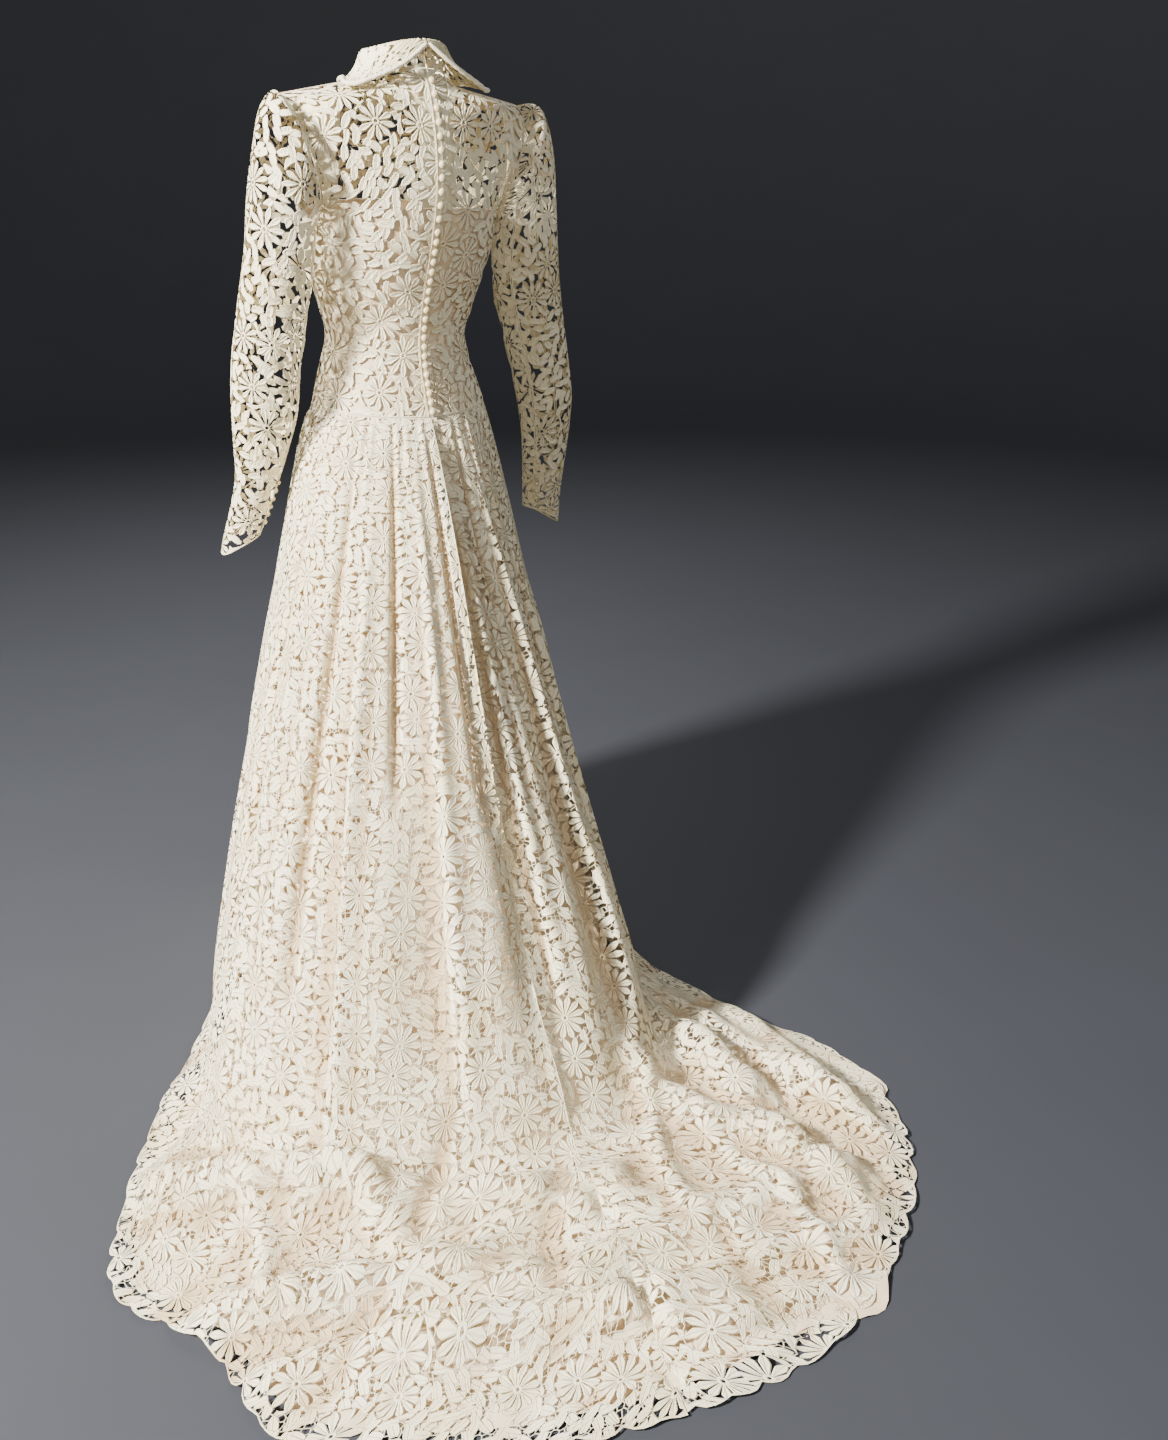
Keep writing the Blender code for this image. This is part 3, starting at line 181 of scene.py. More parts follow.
BACK_YOKE = rows_of(YokeRow, [
    (0.0, 1.262, 0.117, 0.158), (38.0, 1.3, 0.119, 0.153), (72.0, 1.345, 0.117, 0.167),
    (105.0, 1.39, 0.11, 0.183), (142.0, 1.43, 0.096, 0.195),
])
FRONT_YOKE = rows_of(YokeRow, [
    (0.0, 1.245, 0.122, 0.158), (38.0, 1.283, 0.118, 0.153), (72.0, 1.318, 0.111, 0.166),
    (105.0, 1.35, 0.102, 0.182), (142.0, 1.38, 0.09, 0.195),
])
SHOULDER_TIP_X = 0.201
OPEN_SIDE = 0.75

# How the figure stands: the middle of each height moves sideways and back.
Stance = namedtuple("Stance", "height side back")

STANCE = rows_of(Stance, [
    (0.95, 0.006, -0.03), (1.04, 0.009, -0.026), (1.13, 0.008, -0.012), (1.22, 0.004, 0.006),
    (1.31, 0.0, 0.018), (1.4, 0.0, 0.024), (1.49, 0.0, 0.03),
])

# Bust shaping on the front, one soft swell each side.
BUST_X = 0.074
BUST_HEIGHT = 1.222
BUST_REACH = 0.050
BUST_SWELL = 0.016

# Sleeve sections from the armhole down: the point next to the body and the point away from it,
# the middle's place front to back, and the half width front to back.
SleeveRow = namedtuple("SleeveRow", "inner_x inner_height outer_x outer_height middle_y half_depth")

SLEEVE_LEFT = rows_of(SleeveRow, [
    (0.162, 1.252, 0.22, 1.427, 0.024, 0.06), (0.1645, 1.242, 0.237, 1.406, 0.026, 0.06),
    (0.1645, 1.226, 0.25, 1.36, 0.026, 0.058), (0.164, 1.2, 0.262, 1.298, 0.024, 0.056),
    (0.164, 1.15, 0.266, 1.208, 0.02, 0.054), (0.171, 1.09, 0.275, 1.12, 0.016, 0.053),
    (0.18, 1.03, 0.285, 1.048, 0.015, 0.052), (0.191, 0.962, 0.293, 0.972, 0.012, 0.049),
    (0.206, 0.908, 0.292, 0.916, 0.002, 0.043), (0.22, 0.858, 0.29, 0.862, -0.012, 0.037),
    (0.233, 0.806, 0.298, 0.802, -0.034, 0.033), (0.245, 0.762, 0.312, 0.742, -0.055, 0.032),
])
SLEEVE_RIGHT = rows_of(SleeveRow, [
    (0.162, 1.252, 0.22, 1.425, 0.024, 0.06), (0.1645, 1.242, 0.236, 1.404, 0.026, 0.059),
    (0.1645, 1.226, 0.249, 1.358, 0.026, 0.057), (0.1645, 1.2, 0.26, 1.296, 0.024, 0.054),
    (0.174, 1.15, 0.28, 1.206, 0.02, 0.051), (0.196, 1.09, 0.305, 1.118, 0.016, 0.049),
    (0.216, 1.026, 0.325, 1.042, 0.015, 0.047), (0.233, 0.956, 0.337, 0.964, 0.012, 0.044),
    (0.247, 0.898, 0.34, 0.904, 0.002, 0.039), (0.257, 0.842, 0.341, 0.846, -0.012, 0.035),
    (0.268, 0.786, 0.343, 0.78, -0.032, 0.032), (0.278, 0.742, 0.348, 0.716, -0.05, 0.031),
])
SLEEVE_SEAM_TURN = 38.0
SLEEVE_GAP = 0.0005
SLEEVE_SEAM_TRIM = 0.45

# Skirt plan, once round from the centre front over the wearer's left: the hem on the floor and
# the line where the falling cloth first rests on the floor.
SkirtRow = namedtuple("SkirtRow", "share hem_x hem_y rest_x rest_y")

SKIRT_PLAN = rows_of(SkirtRow, [
    (0.0, 0.0, -0.345, 0.0, -0.34), (0.06, 0.165, -0.31, 0.163, -0.305),
    (0.12, 0.298, -0.21, 0.294, -0.206), (0.18, 0.366, -0.06, 0.36, -0.06),
    (0.23, 0.415, 0.12, 0.4, 0.112), (0.27, 0.495, 0.32, 0.445, 0.27),
    (0.305, 0.575, 0.5, 0.485, 0.425), (0.34, 0.634, 0.68, 0.495, 0.57),
    (0.37, 0.638, 0.81, 0.455, 0.68), (0.4, 0.545, 0.94, 0.38, 0.745),
    (0.43, 0.48, 1.095, 0.28, 0.785), (0.46, 0.32, 1.185, 0.17, 0.8),
    (0.49, 0.12, 1.227, 0.05, 0.795), (0.52, -0.08, 1.224, -0.05, 0.765),
    (0.55, -0.25, 1.16, -0.125, 0.71), (0.58, -0.405, 1.015, -0.185, 0.645),
    (0.61, -0.482, 0.85, -0.205, 0.562), (0.64, -0.468, 0.7, -0.222, 0.482),
    (0.675, -0.385, 0.555, -0.234, 0.4), (0.715, -0.315, 0.4, -0.242, 0.306),
    (0.76, -0.278, 0.25, -0.252, 0.21), (0.8, -0.278, 0.14, -0.266, 0.115),
    (0.86, -0.303, -0.06, -0.296, -0.058), (0.93, -0.205, -0.25, -0.202, -0.246),
])

# Flutes that run down the skirt. depth is negative for a trough.
Flute = namedtuple("Flute", "share drift start depth width")

FLUTES = rows_of(Flute, [
    (0.5, 0.0, 0.02, -0.026, 0.015), (0.474, 0.0, 0.1, 0.016, 0.015),
    (0.446, 0.002, 0.16, -0.022, 0.015), (0.42, 0.002, 0.2, 0.016, 0.015),
    (0.394, 0.004, 0.24, -0.022, 0.015), (0.362, 0.0, 0.2, 0.015, 0.016),
    (0.332, 0.0, 0.28, -0.018, 0.016), (0.298, 0.0, 0.3, 0.014, 0.016),
    (0.262, 0.0, 0.24, -0.016, 0.018), (0.222, 0.0, 0.2, 0.012, 0.02),
    (0.176, 0.0, 0.26, -0.016, 0.02), (0.132, 0.0, 0.2, 0.014, 0.02),
    (0.086, 0.0, 0.28, -0.015, 0.02), (0.04, 0.0, 0.22, 0.012, 0.02),
    (-0.004, 0.0, 0.3, -0.012, 0.02), (-0.05, 0.0, 0.22, 0.012, 0.02),
    (-0.096, 0.0, 0.26, -0.015, 0.02), (-0.142, 0.0, 0.2, 0.013, 0.02),
    (-0.186, 0.0, 0.28, -0.014, 0.02), (-0.228, 0.0, 0.22, 0.012, 0.018),
    (-0.264, 0.0, 0.2, -0.014, 0.016), (-0.298, 0.0, 0.26, 0.013, 0.016),
    (-0.332, 0.0, 0.2, -0.018, 0.015), (-0.362, 0.0, 0.24, 0.014, 0.015),
    (-0.392, 0.0, 0.18, -0.02, 0.015), (-0.42, 0.0, 0.22, 0.016, 0.015),
    (-0.446, 0.0, 0.12, -0.02, 0.015), (-0.474, 0.0, 0.08, 0.018, 0.015),
])

# Rolls where the train lies in folds on the floor, each from one end to the other.
Roll = namedtuple("Roll", "x1 y1 x2 y2 height width")

ROLLS = rows_of(Roll, [
    (0.56, 0.64, 0.23, 0.835, 0.04, 0.034), (0.23, 0.835, -0.01, 0.865, 0.034, 0.032),
    (0.52, 0.9, 0.1, 1.0, 0.036, 0.034), (0.1, 1.0, -0.33, 0.96, 0.03, 0.034),
    (0.36, 1.04, -0.06, 1.11, 0.022, 0.03), (-0.19, 0.44, -0.29, 0.76, 0.034, 0.03),
    (-0.24, 0.42, -0.4, 0.83, 0.026, 0.028), (-0.12, 0.68, -0.26, 0.88, 0.03, 0.03),
])

# Where the lining shows past the lace at the hem.
Show = namedtuple("Show", "share past width")

LINING_SHOWS = [
    Show(0.622, 0.036, 0.012),
    Show(0.548, 0.034, 0.010),
]
LINING_HEM = 0.975
SKIRT_SEAM = 0.00020

SWEEP = Matrix.Rotation(-math.radians(TRAIN_SWEEP), 2)

LEFT = 1.0
RIGHT = -1.0
SIDES = [(LEFT, "left"), (RIGHT, "right")]
SLEEVES = [(LEFT, "left", SLEEVE_LEFT), (RIGHT, "right", SLEEVE_RIGHT)]
BACK = 1.0
FRONT = -1.0


def smooth_step(value):
    """Ease from 0 to 1."""
    value = min(max(value, 0.0), 1.0)
    return value * value * (3.0 - 2.0 * value)


def catmull(before, start, end, after, part):
    """One coordinate of a Catmull-Rom curve."""
    square = part * part
    cube = square * part
    return 0.5 * (2.0 * start + (end - before) * part
                  + (2.0 * before - 5.0 * start + 4.0 * end - after) * square
                  + (3.0 * start - before - 3.0 * end + after) * cube)


def read_rows(rows, place):
    """Every column of a table at a place counted in rows, on a smooth curve."""
    last = len(rows) - 1
    place = min(max(place, 0.0), float(last))
    low = min(int(place), last - 1)
    before = rows[max(low - 1, 0)]
    after = rows[min(low + 2, last)]
    return [catmull(a, b, c, d, place - low)
            for a, b, c, d in zip(before, rows[low], rows[low + 1], after)]


def blend_points(points, place):
    """A point at a place counted in points, on a smooth curve."""
    return Vector(read_rows([tuple(point) for point in points], place))


def stand(point, side=1.0):
    """Move a point with the figure's stance at its height."""
    first = STANCE[0].height
    step = STANCE[1].height - first
    row = read_rows(STANCE, (point.z - first) / step)
    return Vector((point.x * side + row[1], point.y + row[2], point.z))


def armhole_point(turn, reach, side_x):
    """A point of the armhole seam, turn degrees up from its lowest point."""
    angle = math.radians(turn)
    return Vector((side_x,
                   reach * ARMHOLE_HALF_DEPTH * math.sin(angle),
                   ARMHOLE_MIDDLE - ARMHOLE_HALF_HEIGHT * math.cos(angle)))


def neck_point(turn):
    """A point of the neck seam, turn degrees round from the centre back, on the wearer's left."""
    angle = math.radians(turn)
    reach = NECK_BACK_REACH if turn <= 90.0 else NECK_FRONT_REACH
    end_height = NECK_BACK_HEIGHT if turn <= 90.0 else NECK_FRONT_HEIGHT
    rise = math.cos(angle) ** 2
    return Vector((NECK_RADIUS * math.sin(angle),
                   reach * math.cos(angle),
                   NECK_SIDE_HEIGHT + (end_height - NECK_SIDE_HEIGHT) * rise))


def section_point(share, height, depth, edge_x, edge_depth, edge_height, face, open_side=0.0):
    """A point on one section of the bodice, share 0 at the centre and 1 at its edge. open_side
    flattens a section that ends at an armhole."""
    angle = share * math.pi / 2.0
    along = math.sin(angle) * (1.0 - open_side) + share * open_side
    bend = math.cos(angle) * (1.0 - open_side) + (1.0 - share * share) * open_side
    return Vector((edge_x * along,
                   face * (edge_depth + (depth - edge_depth) * bend),
                   height + (edge_height - height) * share ** 1.5))


def top_point(share, face):
    """A point of the bodice's top edge: half the neck, then the shoulder seam."""
    if share < NECK_SHARE:
        part = share / NECK_SHARE
        return neck_point(90.0 * part if face == BACK else 180.0 - 90.0 * part)
    part = (share - NECK_SHARE) / (1.0 - NECK_SHARE)
    start = neck_point(90.0)
    end = armhole_point(180.0, face, SHOULDER_TIP_X)
    return start.lerp(end, part)


def bodice_point(share, level, face):
    """A point on the wearer's left half of the bodice. level runs from 0, the dropped waist,
    to 1, the neck and the shoulder seam."""
    rows = BACK_ROWS if face == BACK else FRONT_ROWS
    yoke = BACK_YOKE if face == BACK else FRONT_YOKE
    points = [section_point(share, *row, face) for row in rows]
    for row in yoke:
        seam = armhole_point(row.turn, 1.0, row.armhole_x)
        open_side = OPEN_SIDE * smooth_step(row.turn / ARMHOLE_OPENING_TURN)
        points.append(section_point(share, row.height, row.depth, seam.x, seam.y, seam.z, face,
                                    open_side))
    points.append(top_point(share, face))
    point = blend_points(points, level * (len(points) - 1))
    if face == FRONT:
        away = math.hypot(point.x - BUST_X, point.z - BUST_HEIGHT) / BUST_REACH
        point.y -= BUST_SWELL * math.exp(-away * away)
    return point


BODICE_LEVELS = len(BACK_ROWS) + len(BACK_YOKE)
UNDERARM_LEVEL = len(BACK_ROWS) / BODICE_LEVELS
BACK_US = [0.0, 0.12, 0.24, NECK_SHARE, 0.49, 0.62, 0.75, 0.88, 1.0]
FRONT_US = [0.0, 0.18, NECK_SHARE, 0.53, 0.69, 0.85, 1.0]


def panel_point(share, level, face):
    """A point on the flat facets of a bodice panel, for what lies under that panel."""
    columns = BACK_US if face == BACK else FRONT_US
    side = max(index for index in range(len(columns) - 1) if columns[index] <= share + 1e-9)
    along = (share - columns[side]) / (columns[side + 1] - columns[side])
    row = min(int(level * BODICE_LEVELS + 1e-9), BODICE_LEVELS - 1)
    up = level * BODICE_LEVELS - row
    low, high = [
        bodice_point(columns[side], step / BODICE_LEVELS, face).lerp(
            bodice_point(columns[side + 1], step / BODICE_LEVELS, face), along)
        for step in (row, row + 1)]
    return low.lerp(high, up)


def collar_fall_length(turn):
    """How far the collar falls from its roll, turn degrees round from the centre back."""
    if turn <= COLLAR_POINT_ANGLE:
        part = turn / COLLAR_POINT_ANGLE
        return COLLAR_BACK_FALL + (COLLAR_POINT_LENGTH - COLLAR_BACK_FALL) * part ** 1.15
    part = smooth_step((turn - COLLAR_POINT_ANGLE) / COLLAR_FRONT_TURN)
    return COLLAR_POINT_LENGTH + (COLLAR_LENGTH - COLLAR_POINT_LENGTH) * part


def collar_point(share, level):
    """A point of the collar's cloth: up the stand, over the roll and down the fall."""
    turn = 180.0 * share
    angle = math.radians(turn)
    neck = neck_point(turn)
    outward = Vector((math.sin(angle), math.cos(angle), 0.0))
    roll_height = neck.z + STAND_HEIGHT
    stand_part = COLLAR_STAND_PART
    roll_part = COLLAR_ROLL_PART
    if level <= stand_part:
        part = level / stand_part
        return neck - outward * STAND_LEAN * part + Vector((
            0.0, 0.0, COLLAR_BASE + STAND_HEIGHT * part))
    if level <= roll_part:
        part = (level - stand_part) / (roll_part - stand_part)
        bend = part * math.pi * 0.80
        step = outward * (ROLL_WIDTH * 0.5 * (1.0 - math.cos(bend)) - STAND_LEAN)
        rise = COLLAR_BASE + ROLL_WIDTH * 0.5 * math.sin(bend)
        return Vector((neck.x, neck.y, roll_height)) + step + Vector((0.0, 0.0, rise))
    part = (level - roll_part) / (1.0 - roll_part)
    length = collar_fall_length(turn) * part
    spread = 0.46 + 0.28 * math.exp(-((turn - COLLAR_POINT_ANGLE) / 40.0) ** 2)
    run = length * spread * (0.55 + 0.45 * part)
    drop = math.sqrt(max(length * length - run * run, 0.0))
    start = outward * (ROLL_WIDTH * 0.905 - STAND_LEAN)
    base = Vector((neck.x, neck.y, roll_height + COLLAR_BASE + ROLL_WIDTH * 0.294))
    point = base + start + outward * run - Vector((0.0, 0.0, drop))
    slope = (NECK_SIDE_HEIGHT - COLLAR_SIDE_HEIGHT) / (SHOULDER_TIP_X - NECK_RADIUS)
    least = NECK_SIDE_HEIGHT + COLLAR_CLEAR - slope * (point.x - NECK_RADIUS)
    point.z = max(point.z, least - COLLAR_BEND * point.y * point.y)
    return point


def armhole_seam(turn):
    """The sleeve's first edge: straight between the same points as the bodice's armhole."""
    face = BACK if turn % 360.0 <= 180.0 else FRONT
    up = min(turn % 360.0, 360.0 - turn % 360.0)
    seam_x = [row.armhole_x for row in BACK_YOKE] + [SHOULDER_TIP_X]
    turns = [row.turn for row in BACK_YOKE] + [180.0]
    low = max(index for index in range(len(turns) - 1) if turns[index] <= up)
    part = (up - turns[low]) / (turns[low + 1] - turns[low])
    start = armhole_point(turns[low], face, seam_x[low])
    end = armhole_point(turns[low + 1], face, seam_x[low + 1])
    return start.lerp(end, part) + Vector((SLEEVE_GAP, 0.0, 0.0))


def sleeve_point(rows, turn, level):
    """A point on the wearer's left sleeve, or on the right one seen in a mirror. turn is 0 next
    to the body, 90 at the back, 180 at the outside and 270 at the front."""
    angle = math.radians(turn)
    points = [armhole_seam(turn)]
    for row in rows:
        middle_x = (row.inner_x + row.outer_x) / 2.0
        middle_height = (row.inner_height + row.outer_height) / 2.0
        points.append(Vector((
            middle_x - (row.outer_x - row.inner_x) / 2.0 * math.cos(angle),
            row.middle_y + row.half_depth * math.sin(angle),
            middle_height - (row.outer_height - row.inner_height) / 2.0 * math.cos(angle))))
    place = level * (len(points) - 1)
    point = blend_points(points, place)
    if level > CUFF_DIP_START:
        dip = (level - CUFF_DIP_START) / (1.0 - CUFF_DIP_START)
        point.z -= CUFF_DIP * dip * (0.5 - 0.5 * math.cos(angle)) ** 3
    return point


def hip_point(share):
    """A point of the dropped waist seam, once round from the centre front."""
    turn = (share % 1.0) * 4.0
    quarter = int(turn) % 4
    part = turn - int(turn)
    if quarter in (1, 3):
        part = 1.0 - part
    face = FRONT if quarter in (0, 3) else BACK
    return stand(bodice_point(part, 0.0, face), LEFT if quarter < 2 else RIGHT)


def skirt_plan(share):
    """Hem and rest line at a share of the round, on smooth closed curves, with the train swept
    to one side."""
    share = share % 1.0
    count = len(SKIRT_PLAN)
    low = max(index for index in range(count) if SKIRT_PLAN[index].share <= share)
    start = SKIRT_PLAN[low]
    end = SKIRT_PLAN[(low + 1) % count]
    before = SKIRT_PLAN[(low - 1) % count]
    after = SKIRT_PLAN[(low + 2) % count]
    span = (end.share - start.share) % 1.0
    part = (share - start.share) / span
    hem_x, hem_y, rest_x, rest_y = [
        catmull(before[column], start[column], end[column], after[column], part)
        for column in range(1, 5)]
    return SWEEP @ Vector((hem_x, hem_y)), SWEEP @ Vector((rest_x, rest_y))


def flute_height(share, drop):
    """How far the skirt stands out or in from its plain cone, from its flutes."""
    total = 0.0
    for flute in FLUTES:
        centre = flute.share + flute.drift * drop
        away = (share - centre + 0.5) % 1.0 - 0.5
        if abs(away) > 4.0 * flute.width:
            continue
        grow = smooth_step((drop - flute.start) / FLUTE_GROWTH)
        total += flute.depth * grow * math.exp(-(away / flute.width) ** 2)
    return total


def roll_height(plan):
    """How high the train's cloth stands over the floor in its rolls."""
    x, y = plan @ SWEEP
    total = 0.0
    for roll in ROLLS:
        run_x = roll.x2 - roll.x1
        run_y = roll.y2 - roll.y1
        length = run_x * run_x + run_y * run_y
        along = ((x - roll.x1) * run_x + (y - roll.y1) * run_y) / length
        near = min(max(along, 0.0), 1.0)
        gap = math.hypot(x - roll.x1 - near * run_x, y - roll.y1 - near * run_y)
        total = max(total, roll.height * math.exp(-(gap / roll.width) ** 2))
    return total


def fall_share(share):
    """The share of a skirt line's length that falls before it rests on the floor."""
    hem, rest = skirt_plan(share)
    hip = hip_point(share)
    falling = math.hypot((rest - hip.xy).length, hip.z)
    return falling / (falling + (hem - rest).length)


def skirt_place(share, level):
    """Where a skirt point lies before its folds: how far down it is, its place in plan and its
    height."""
    hem, rest = skirt_plan(share)
    hip = hip_point(share)
    run = level / fall_share(share)
    backness = smooth_step((hip.y + BACK_START) / BACK_REACH)
    gather = FLARE_BACK_LEFT if share % 1.0 < 0.5 else FLARE_BACK_RIGHT
    if run <= 1.0:
        plan = hip.xy.lerp(rest, run ** (FLARE_FRONT + (gather - FLARE_FRONT) * backness))
    else:
        plan = rest.lerp(hem, (run - 1.0) * fall_share(share) / (1.0 - fall_share(share)))
    straight = hip.z * (1.0 - run)
    soft = FALL_SOFTNESS * min(run, 1.0)
    height = (straight + math.sqrt(straight * straight + 4.0 * soft * soft)) / 2.0
    height *= 1.0 - smooth_step((run - 0.90) / 0.30)
    return run, plan, height


def way_out(share, level):
    """The level direction square to the skirt's plan, away from the body."""
    before = skirt_place(share - 0.004, level)[1]
    after = skirt_place(share + 0.004, level)[1]
    return Vector((after.y - before.y, before.x - after.x)).normalized()


def skirt_point(share, level):
    """A point of the lace skirt, level 0 at the dropped waist and 1 at the hem."""
    run, plan, height = skirt_place(share, level)
    outward = way_out(share, level)
    press = 1.0 - smooth_step((run - 0.70) / 0.30)
    push = flute_height(share, min(run, 1.0)) * (0.12 + 0.88 * press)
    on_floor = smooth_step((run - 0.80) / 0.25)
    lift = LACE_LIFT + (HEM_LIFT - LACE_LIFT) * smooth_step((level - 0.86) / 0.14)
    lift *= smooth_step(run / 0.9)
    plan = plan + outward * push
    rise = roll_height(plan) * on_floor
    return Vector((plan.x, plan.y, height + rise + lift))


def lining_point(share, level):
    """A point of the skirt lining: a plain cone inside the lace that lies flat on the floor."""
    run, plan, height = skirt_place(share, level)
    outward = way_out(share, level)
    press = 1.0 - smooth_step((run - 0.95) / 0.25)
    waist = LACE + LINING_GAP
    inset = waist + (LINING_INSET_HEM - waist) * smooth_step(run / 0.6)
    plan = plan - outward * inset * press
    return Vector((plan.x, plan.y, height + (SATIN + FLOOR_GAP) * smooth_step(run / 0.9)))


def surface_normal(surface, u, v, facing):
    """The outward normal of a surface, from nearby points."""
    step = 0.004
    along = surface(min(u + step, 1.0), v) - surface(max(u - step, 0.0), v)
    up = surface(u, min(v + step, 1.0)) - surface(u, max(v - step, 0.0))
    return (along.cross(up) * facing).normalized()


def level_at(place, height):
    """The level, from 0 to 1, at which place reaches a height, found by halving."""
    low = 0.0
    high = 1.0
    for _ in range(30):
        middle = (low + high) / 2.0
        if place(middle).z < height:
            low = middle
        else:
            high = middle
    return low


def lining_level(face, share):
    """The level of the strapless lining's top edge."""
    target = LINING_TOP_BACK - LINING_DIP_BACK * share ** 4
    if face == FRONT:
        target = LINING_TOP_FRONT - LINING_DIP_FRONT * share ** 2
    return level_at(lambda level: bodice_point(share, level, face), target)


SkirtPiece = namedtuple("SkirtPiece", "name start end")

SKIRT_PIECES = [
    SkirtPiece("front", -0.140, 0.140),
    SkirtPiece("side_left", 0.140, 0.325),
    SkirtPiece("back_left", 0.325, 0.500),
    SkirtPiece("back_right", 0.500, 0.690),
    SkirtPiece("side_right", 0.690, 0.860),
]
LINING_PIECES = [
    SkirtPiece("front", -0.140, 0.140),
    SkirtPiece("left", 0.140, 0.400),
    SkirtPiece("back", 0.400, 0.600),
    SkirtPiece("right", 0.600, 0.860),
]


def gore_surface(piece, point_at, hem):
    """One gore of the skirt, a seam gap clear of its neighbours and of the bodice."""
    def surface(u, v):
        trim = SKIRT_SEAM / (1.0 + 2.0 * v)
        share = piece.start + trim + (piece.end - piece.start - 2.0 * trim) * u
        point = point_at(share, v * hem(share))
        point.z -= SEAM_GAP * (1.0 - v)
        return point
    return surface


def lining_hem(share):
    """Where the lining ends on the lace's own length: short of it, but past it at two places."""
    level = LINING_HEM
    for show in LINING_SHOWS:
        away = (share - show.share) / show.width
        level += show.past * math.exp(-away * away)
    return level


def button_height(index):
    """The height of a back button above the floor, counted down from the neck."""
    if index < len(COLLAR_BUTTONS):
        return COLLAR_BUTTONS[index]
    index -= len(COLLAR_BUTTONS)
    upper = min(index, BUTTONS_ON_BACK)
    lower = max(index - BUTTONS_ON_BACK, 0)
    return BUTTON_TOP_HEIGHT - upper * BUTTON_PITCH_BACK - lower * BUTTON_PITCH_WAIST


def back_level(height):
    """The bodice level of the centre back at a height."""
    return level_at(lambda level: panel_point(0.0, level, BACK), height)


def back_place(height, side_step):
    """Where a button's flat back sits, and the way out: on the collar's stand, or across the
    facets of the centre back, a little higher where those curve."""
    if height > NECK_BACK_HEIGHT + COLLAR_BASE:
        part = (height - NECK_BACK_HEIGHT - COLLAR_BASE) / STAND_HEIGHT
        reach = NECK_BACK_REACH - STAND_LEAN * part + LACE + SEAM_GAP
        return Vector((side_step, reach, height)), Vector((0.0, 1.0, 0.0))
    half = BUTTON_WIDTH / 2.0
    low, middle, high = [
        panel_point(0.0, back_level(height + step), BACK) for step in (-half, 0.0, half)]
    normal = Vector((0.0, high.z - low.z, low.y - high.y)).normalized()
    base = (low + high) / 2.0
    bulge = max((middle - base).dot(normal), 0.0)
    seat = BUTTON_SEAT if height < BUTTON_SEAT_TOP else SEAM_GAP
    point = base + normal * (bulge + seat)
    point.x = side_step
    return point, normal


# Soft creases on the bodice and the sleeves, from one end to the other in shares of the panel.
Crease = namedtuple("Crease", "u1 v1 u2 v2 depth width")

BODICE_CREASES = {
    "back_left": rows_of(Crease, [
        (0.1, 0.33, 0.62, 0.24, -0.003, 0.01), (0.18, 0.4, 0.8, 0.3, 0.0022, 0.01),
        (0.3, 0.47, 0.96, 0.4, -0.0024, 0.009), (0.55, 0.22, 0.98, 0.13, -0.0022, 0.009),
        (0.7, 0.6, 0.92, 0.78, -0.0028, 0.008), (0.58, 0.62, 0.8, 0.82, 0.0018, 0.008),
        (0.35, 0.55, 0.42, 0.7, -0.0014, 0.01),
    ]),
    "back_right": rows_of(Crease, [
        (0.08, 0.3, 0.58, 0.2, -0.0026, 0.01), (0.15, 0.37, 0.85, 0.29, 0.002, 0.01),
        (0.26, 0.45, 0.98, 0.42, -0.0026, 0.009), (0.45, 0.17, 0.97, 0.1, -0.002, 0.008),
        (0.74, 0.58, 0.94, 0.74, -0.0026, 0.008), (0.6, 0.64, 0.84, 0.8, 0.0016, 0.008),
    ]),
    "front": rows_of(Crease, [
        (0.05, 0.28, 0.35, 0.2, -0.0026, 0.01), (0.95, 0.3, 0.62, 0.21, -0.0028, 0.01),
        (0.08, 0.38, 0.4, 0.33, 0.0018, 0.01), (0.92, 0.4, 0.58, 0.34, 0.002, 0.01),
        (0.1, 0.7, 0.3, 0.56, -0.0022, 0.009), (0.9, 0.71, 0.72, 0.57, -0.0024, 0.009),
        (0.3, 0.16, 0.7, 0.13, -0.0018, 0.009),
    ]),
}
SLEEVE_CREASES = {
    "left_top": rows_of(Crease, [
        (0.05, 0.44, 0.6, 0.5, -0.003, 0.01), (0.0, 0.5, 0.45, 0.55, 0.0024, 0.009),
        (0.04, 0.57, 0.55, 0.6, -0.0026, 0.009), (0.2, 0.08, 0.5, 0.18, -0.0024, 0.012),
        (0.55, 0.05, 0.8, 0.16, -0.002, 0.011), (0.1, 0.8, 0.7, 0.84, -0.0014, 0.008),
    ]),
    "left_under": rows_of(Crease, [
        (0.3, 0.4, 0.95, 0.46, -0.0034, 0.01), (0.35, 0.49, 1.0, 0.53, 0.0026, 0.009),
        (0.28, 0.55, 0.92, 0.58, -0.003, 0.009), (0.5, 0.1, 0.9, 0.2, -0.0024, 0.01),
        (0.2, 0.75, 0.8, 0.79, -0.0016, 0.008),
    ]),
    "right_top": rows_of(Crease, [
        (0.02, 0.4, 0.55, 0.46, -0.0032, 0.01), (0.0, 0.47, 0.5, 0.51, 0.0024, 0.009),
        (0.04, 0.53, 0.6, 0.55, -0.0028, 0.009), (0.0, 0.62, 0.4, 0.66, -0.002, 0.009),
        (0.25, 0.08, 0.55, 0.17, -0.0022, 0.012), (0.15, 0.83, 0.65, 0.86, -0.0014, 0.008),
    ]),
    "right_under": rows_of(Crease, [
        (0.35, 0.37, 1.0, 0.43, -0.0036, 0.01), (0.4, 0.45, 0.98, 0.48, 0.0026, 0.009),
        (0.3, 0.51, 0.95, 0.54, -0.0032, 0.009), (0.45, 0.6, 0.95, 0.63, -0.0022, 0.009),
        (0.5, 0.12, 0.92, 0.21, -0.0022, 0.01),
    ]),
}

# Finer folds of the skirt between its flutes. from_run and to_run are shares of the fall.
Fold = namedtuple("Fold", "share from_run to_run depth width")

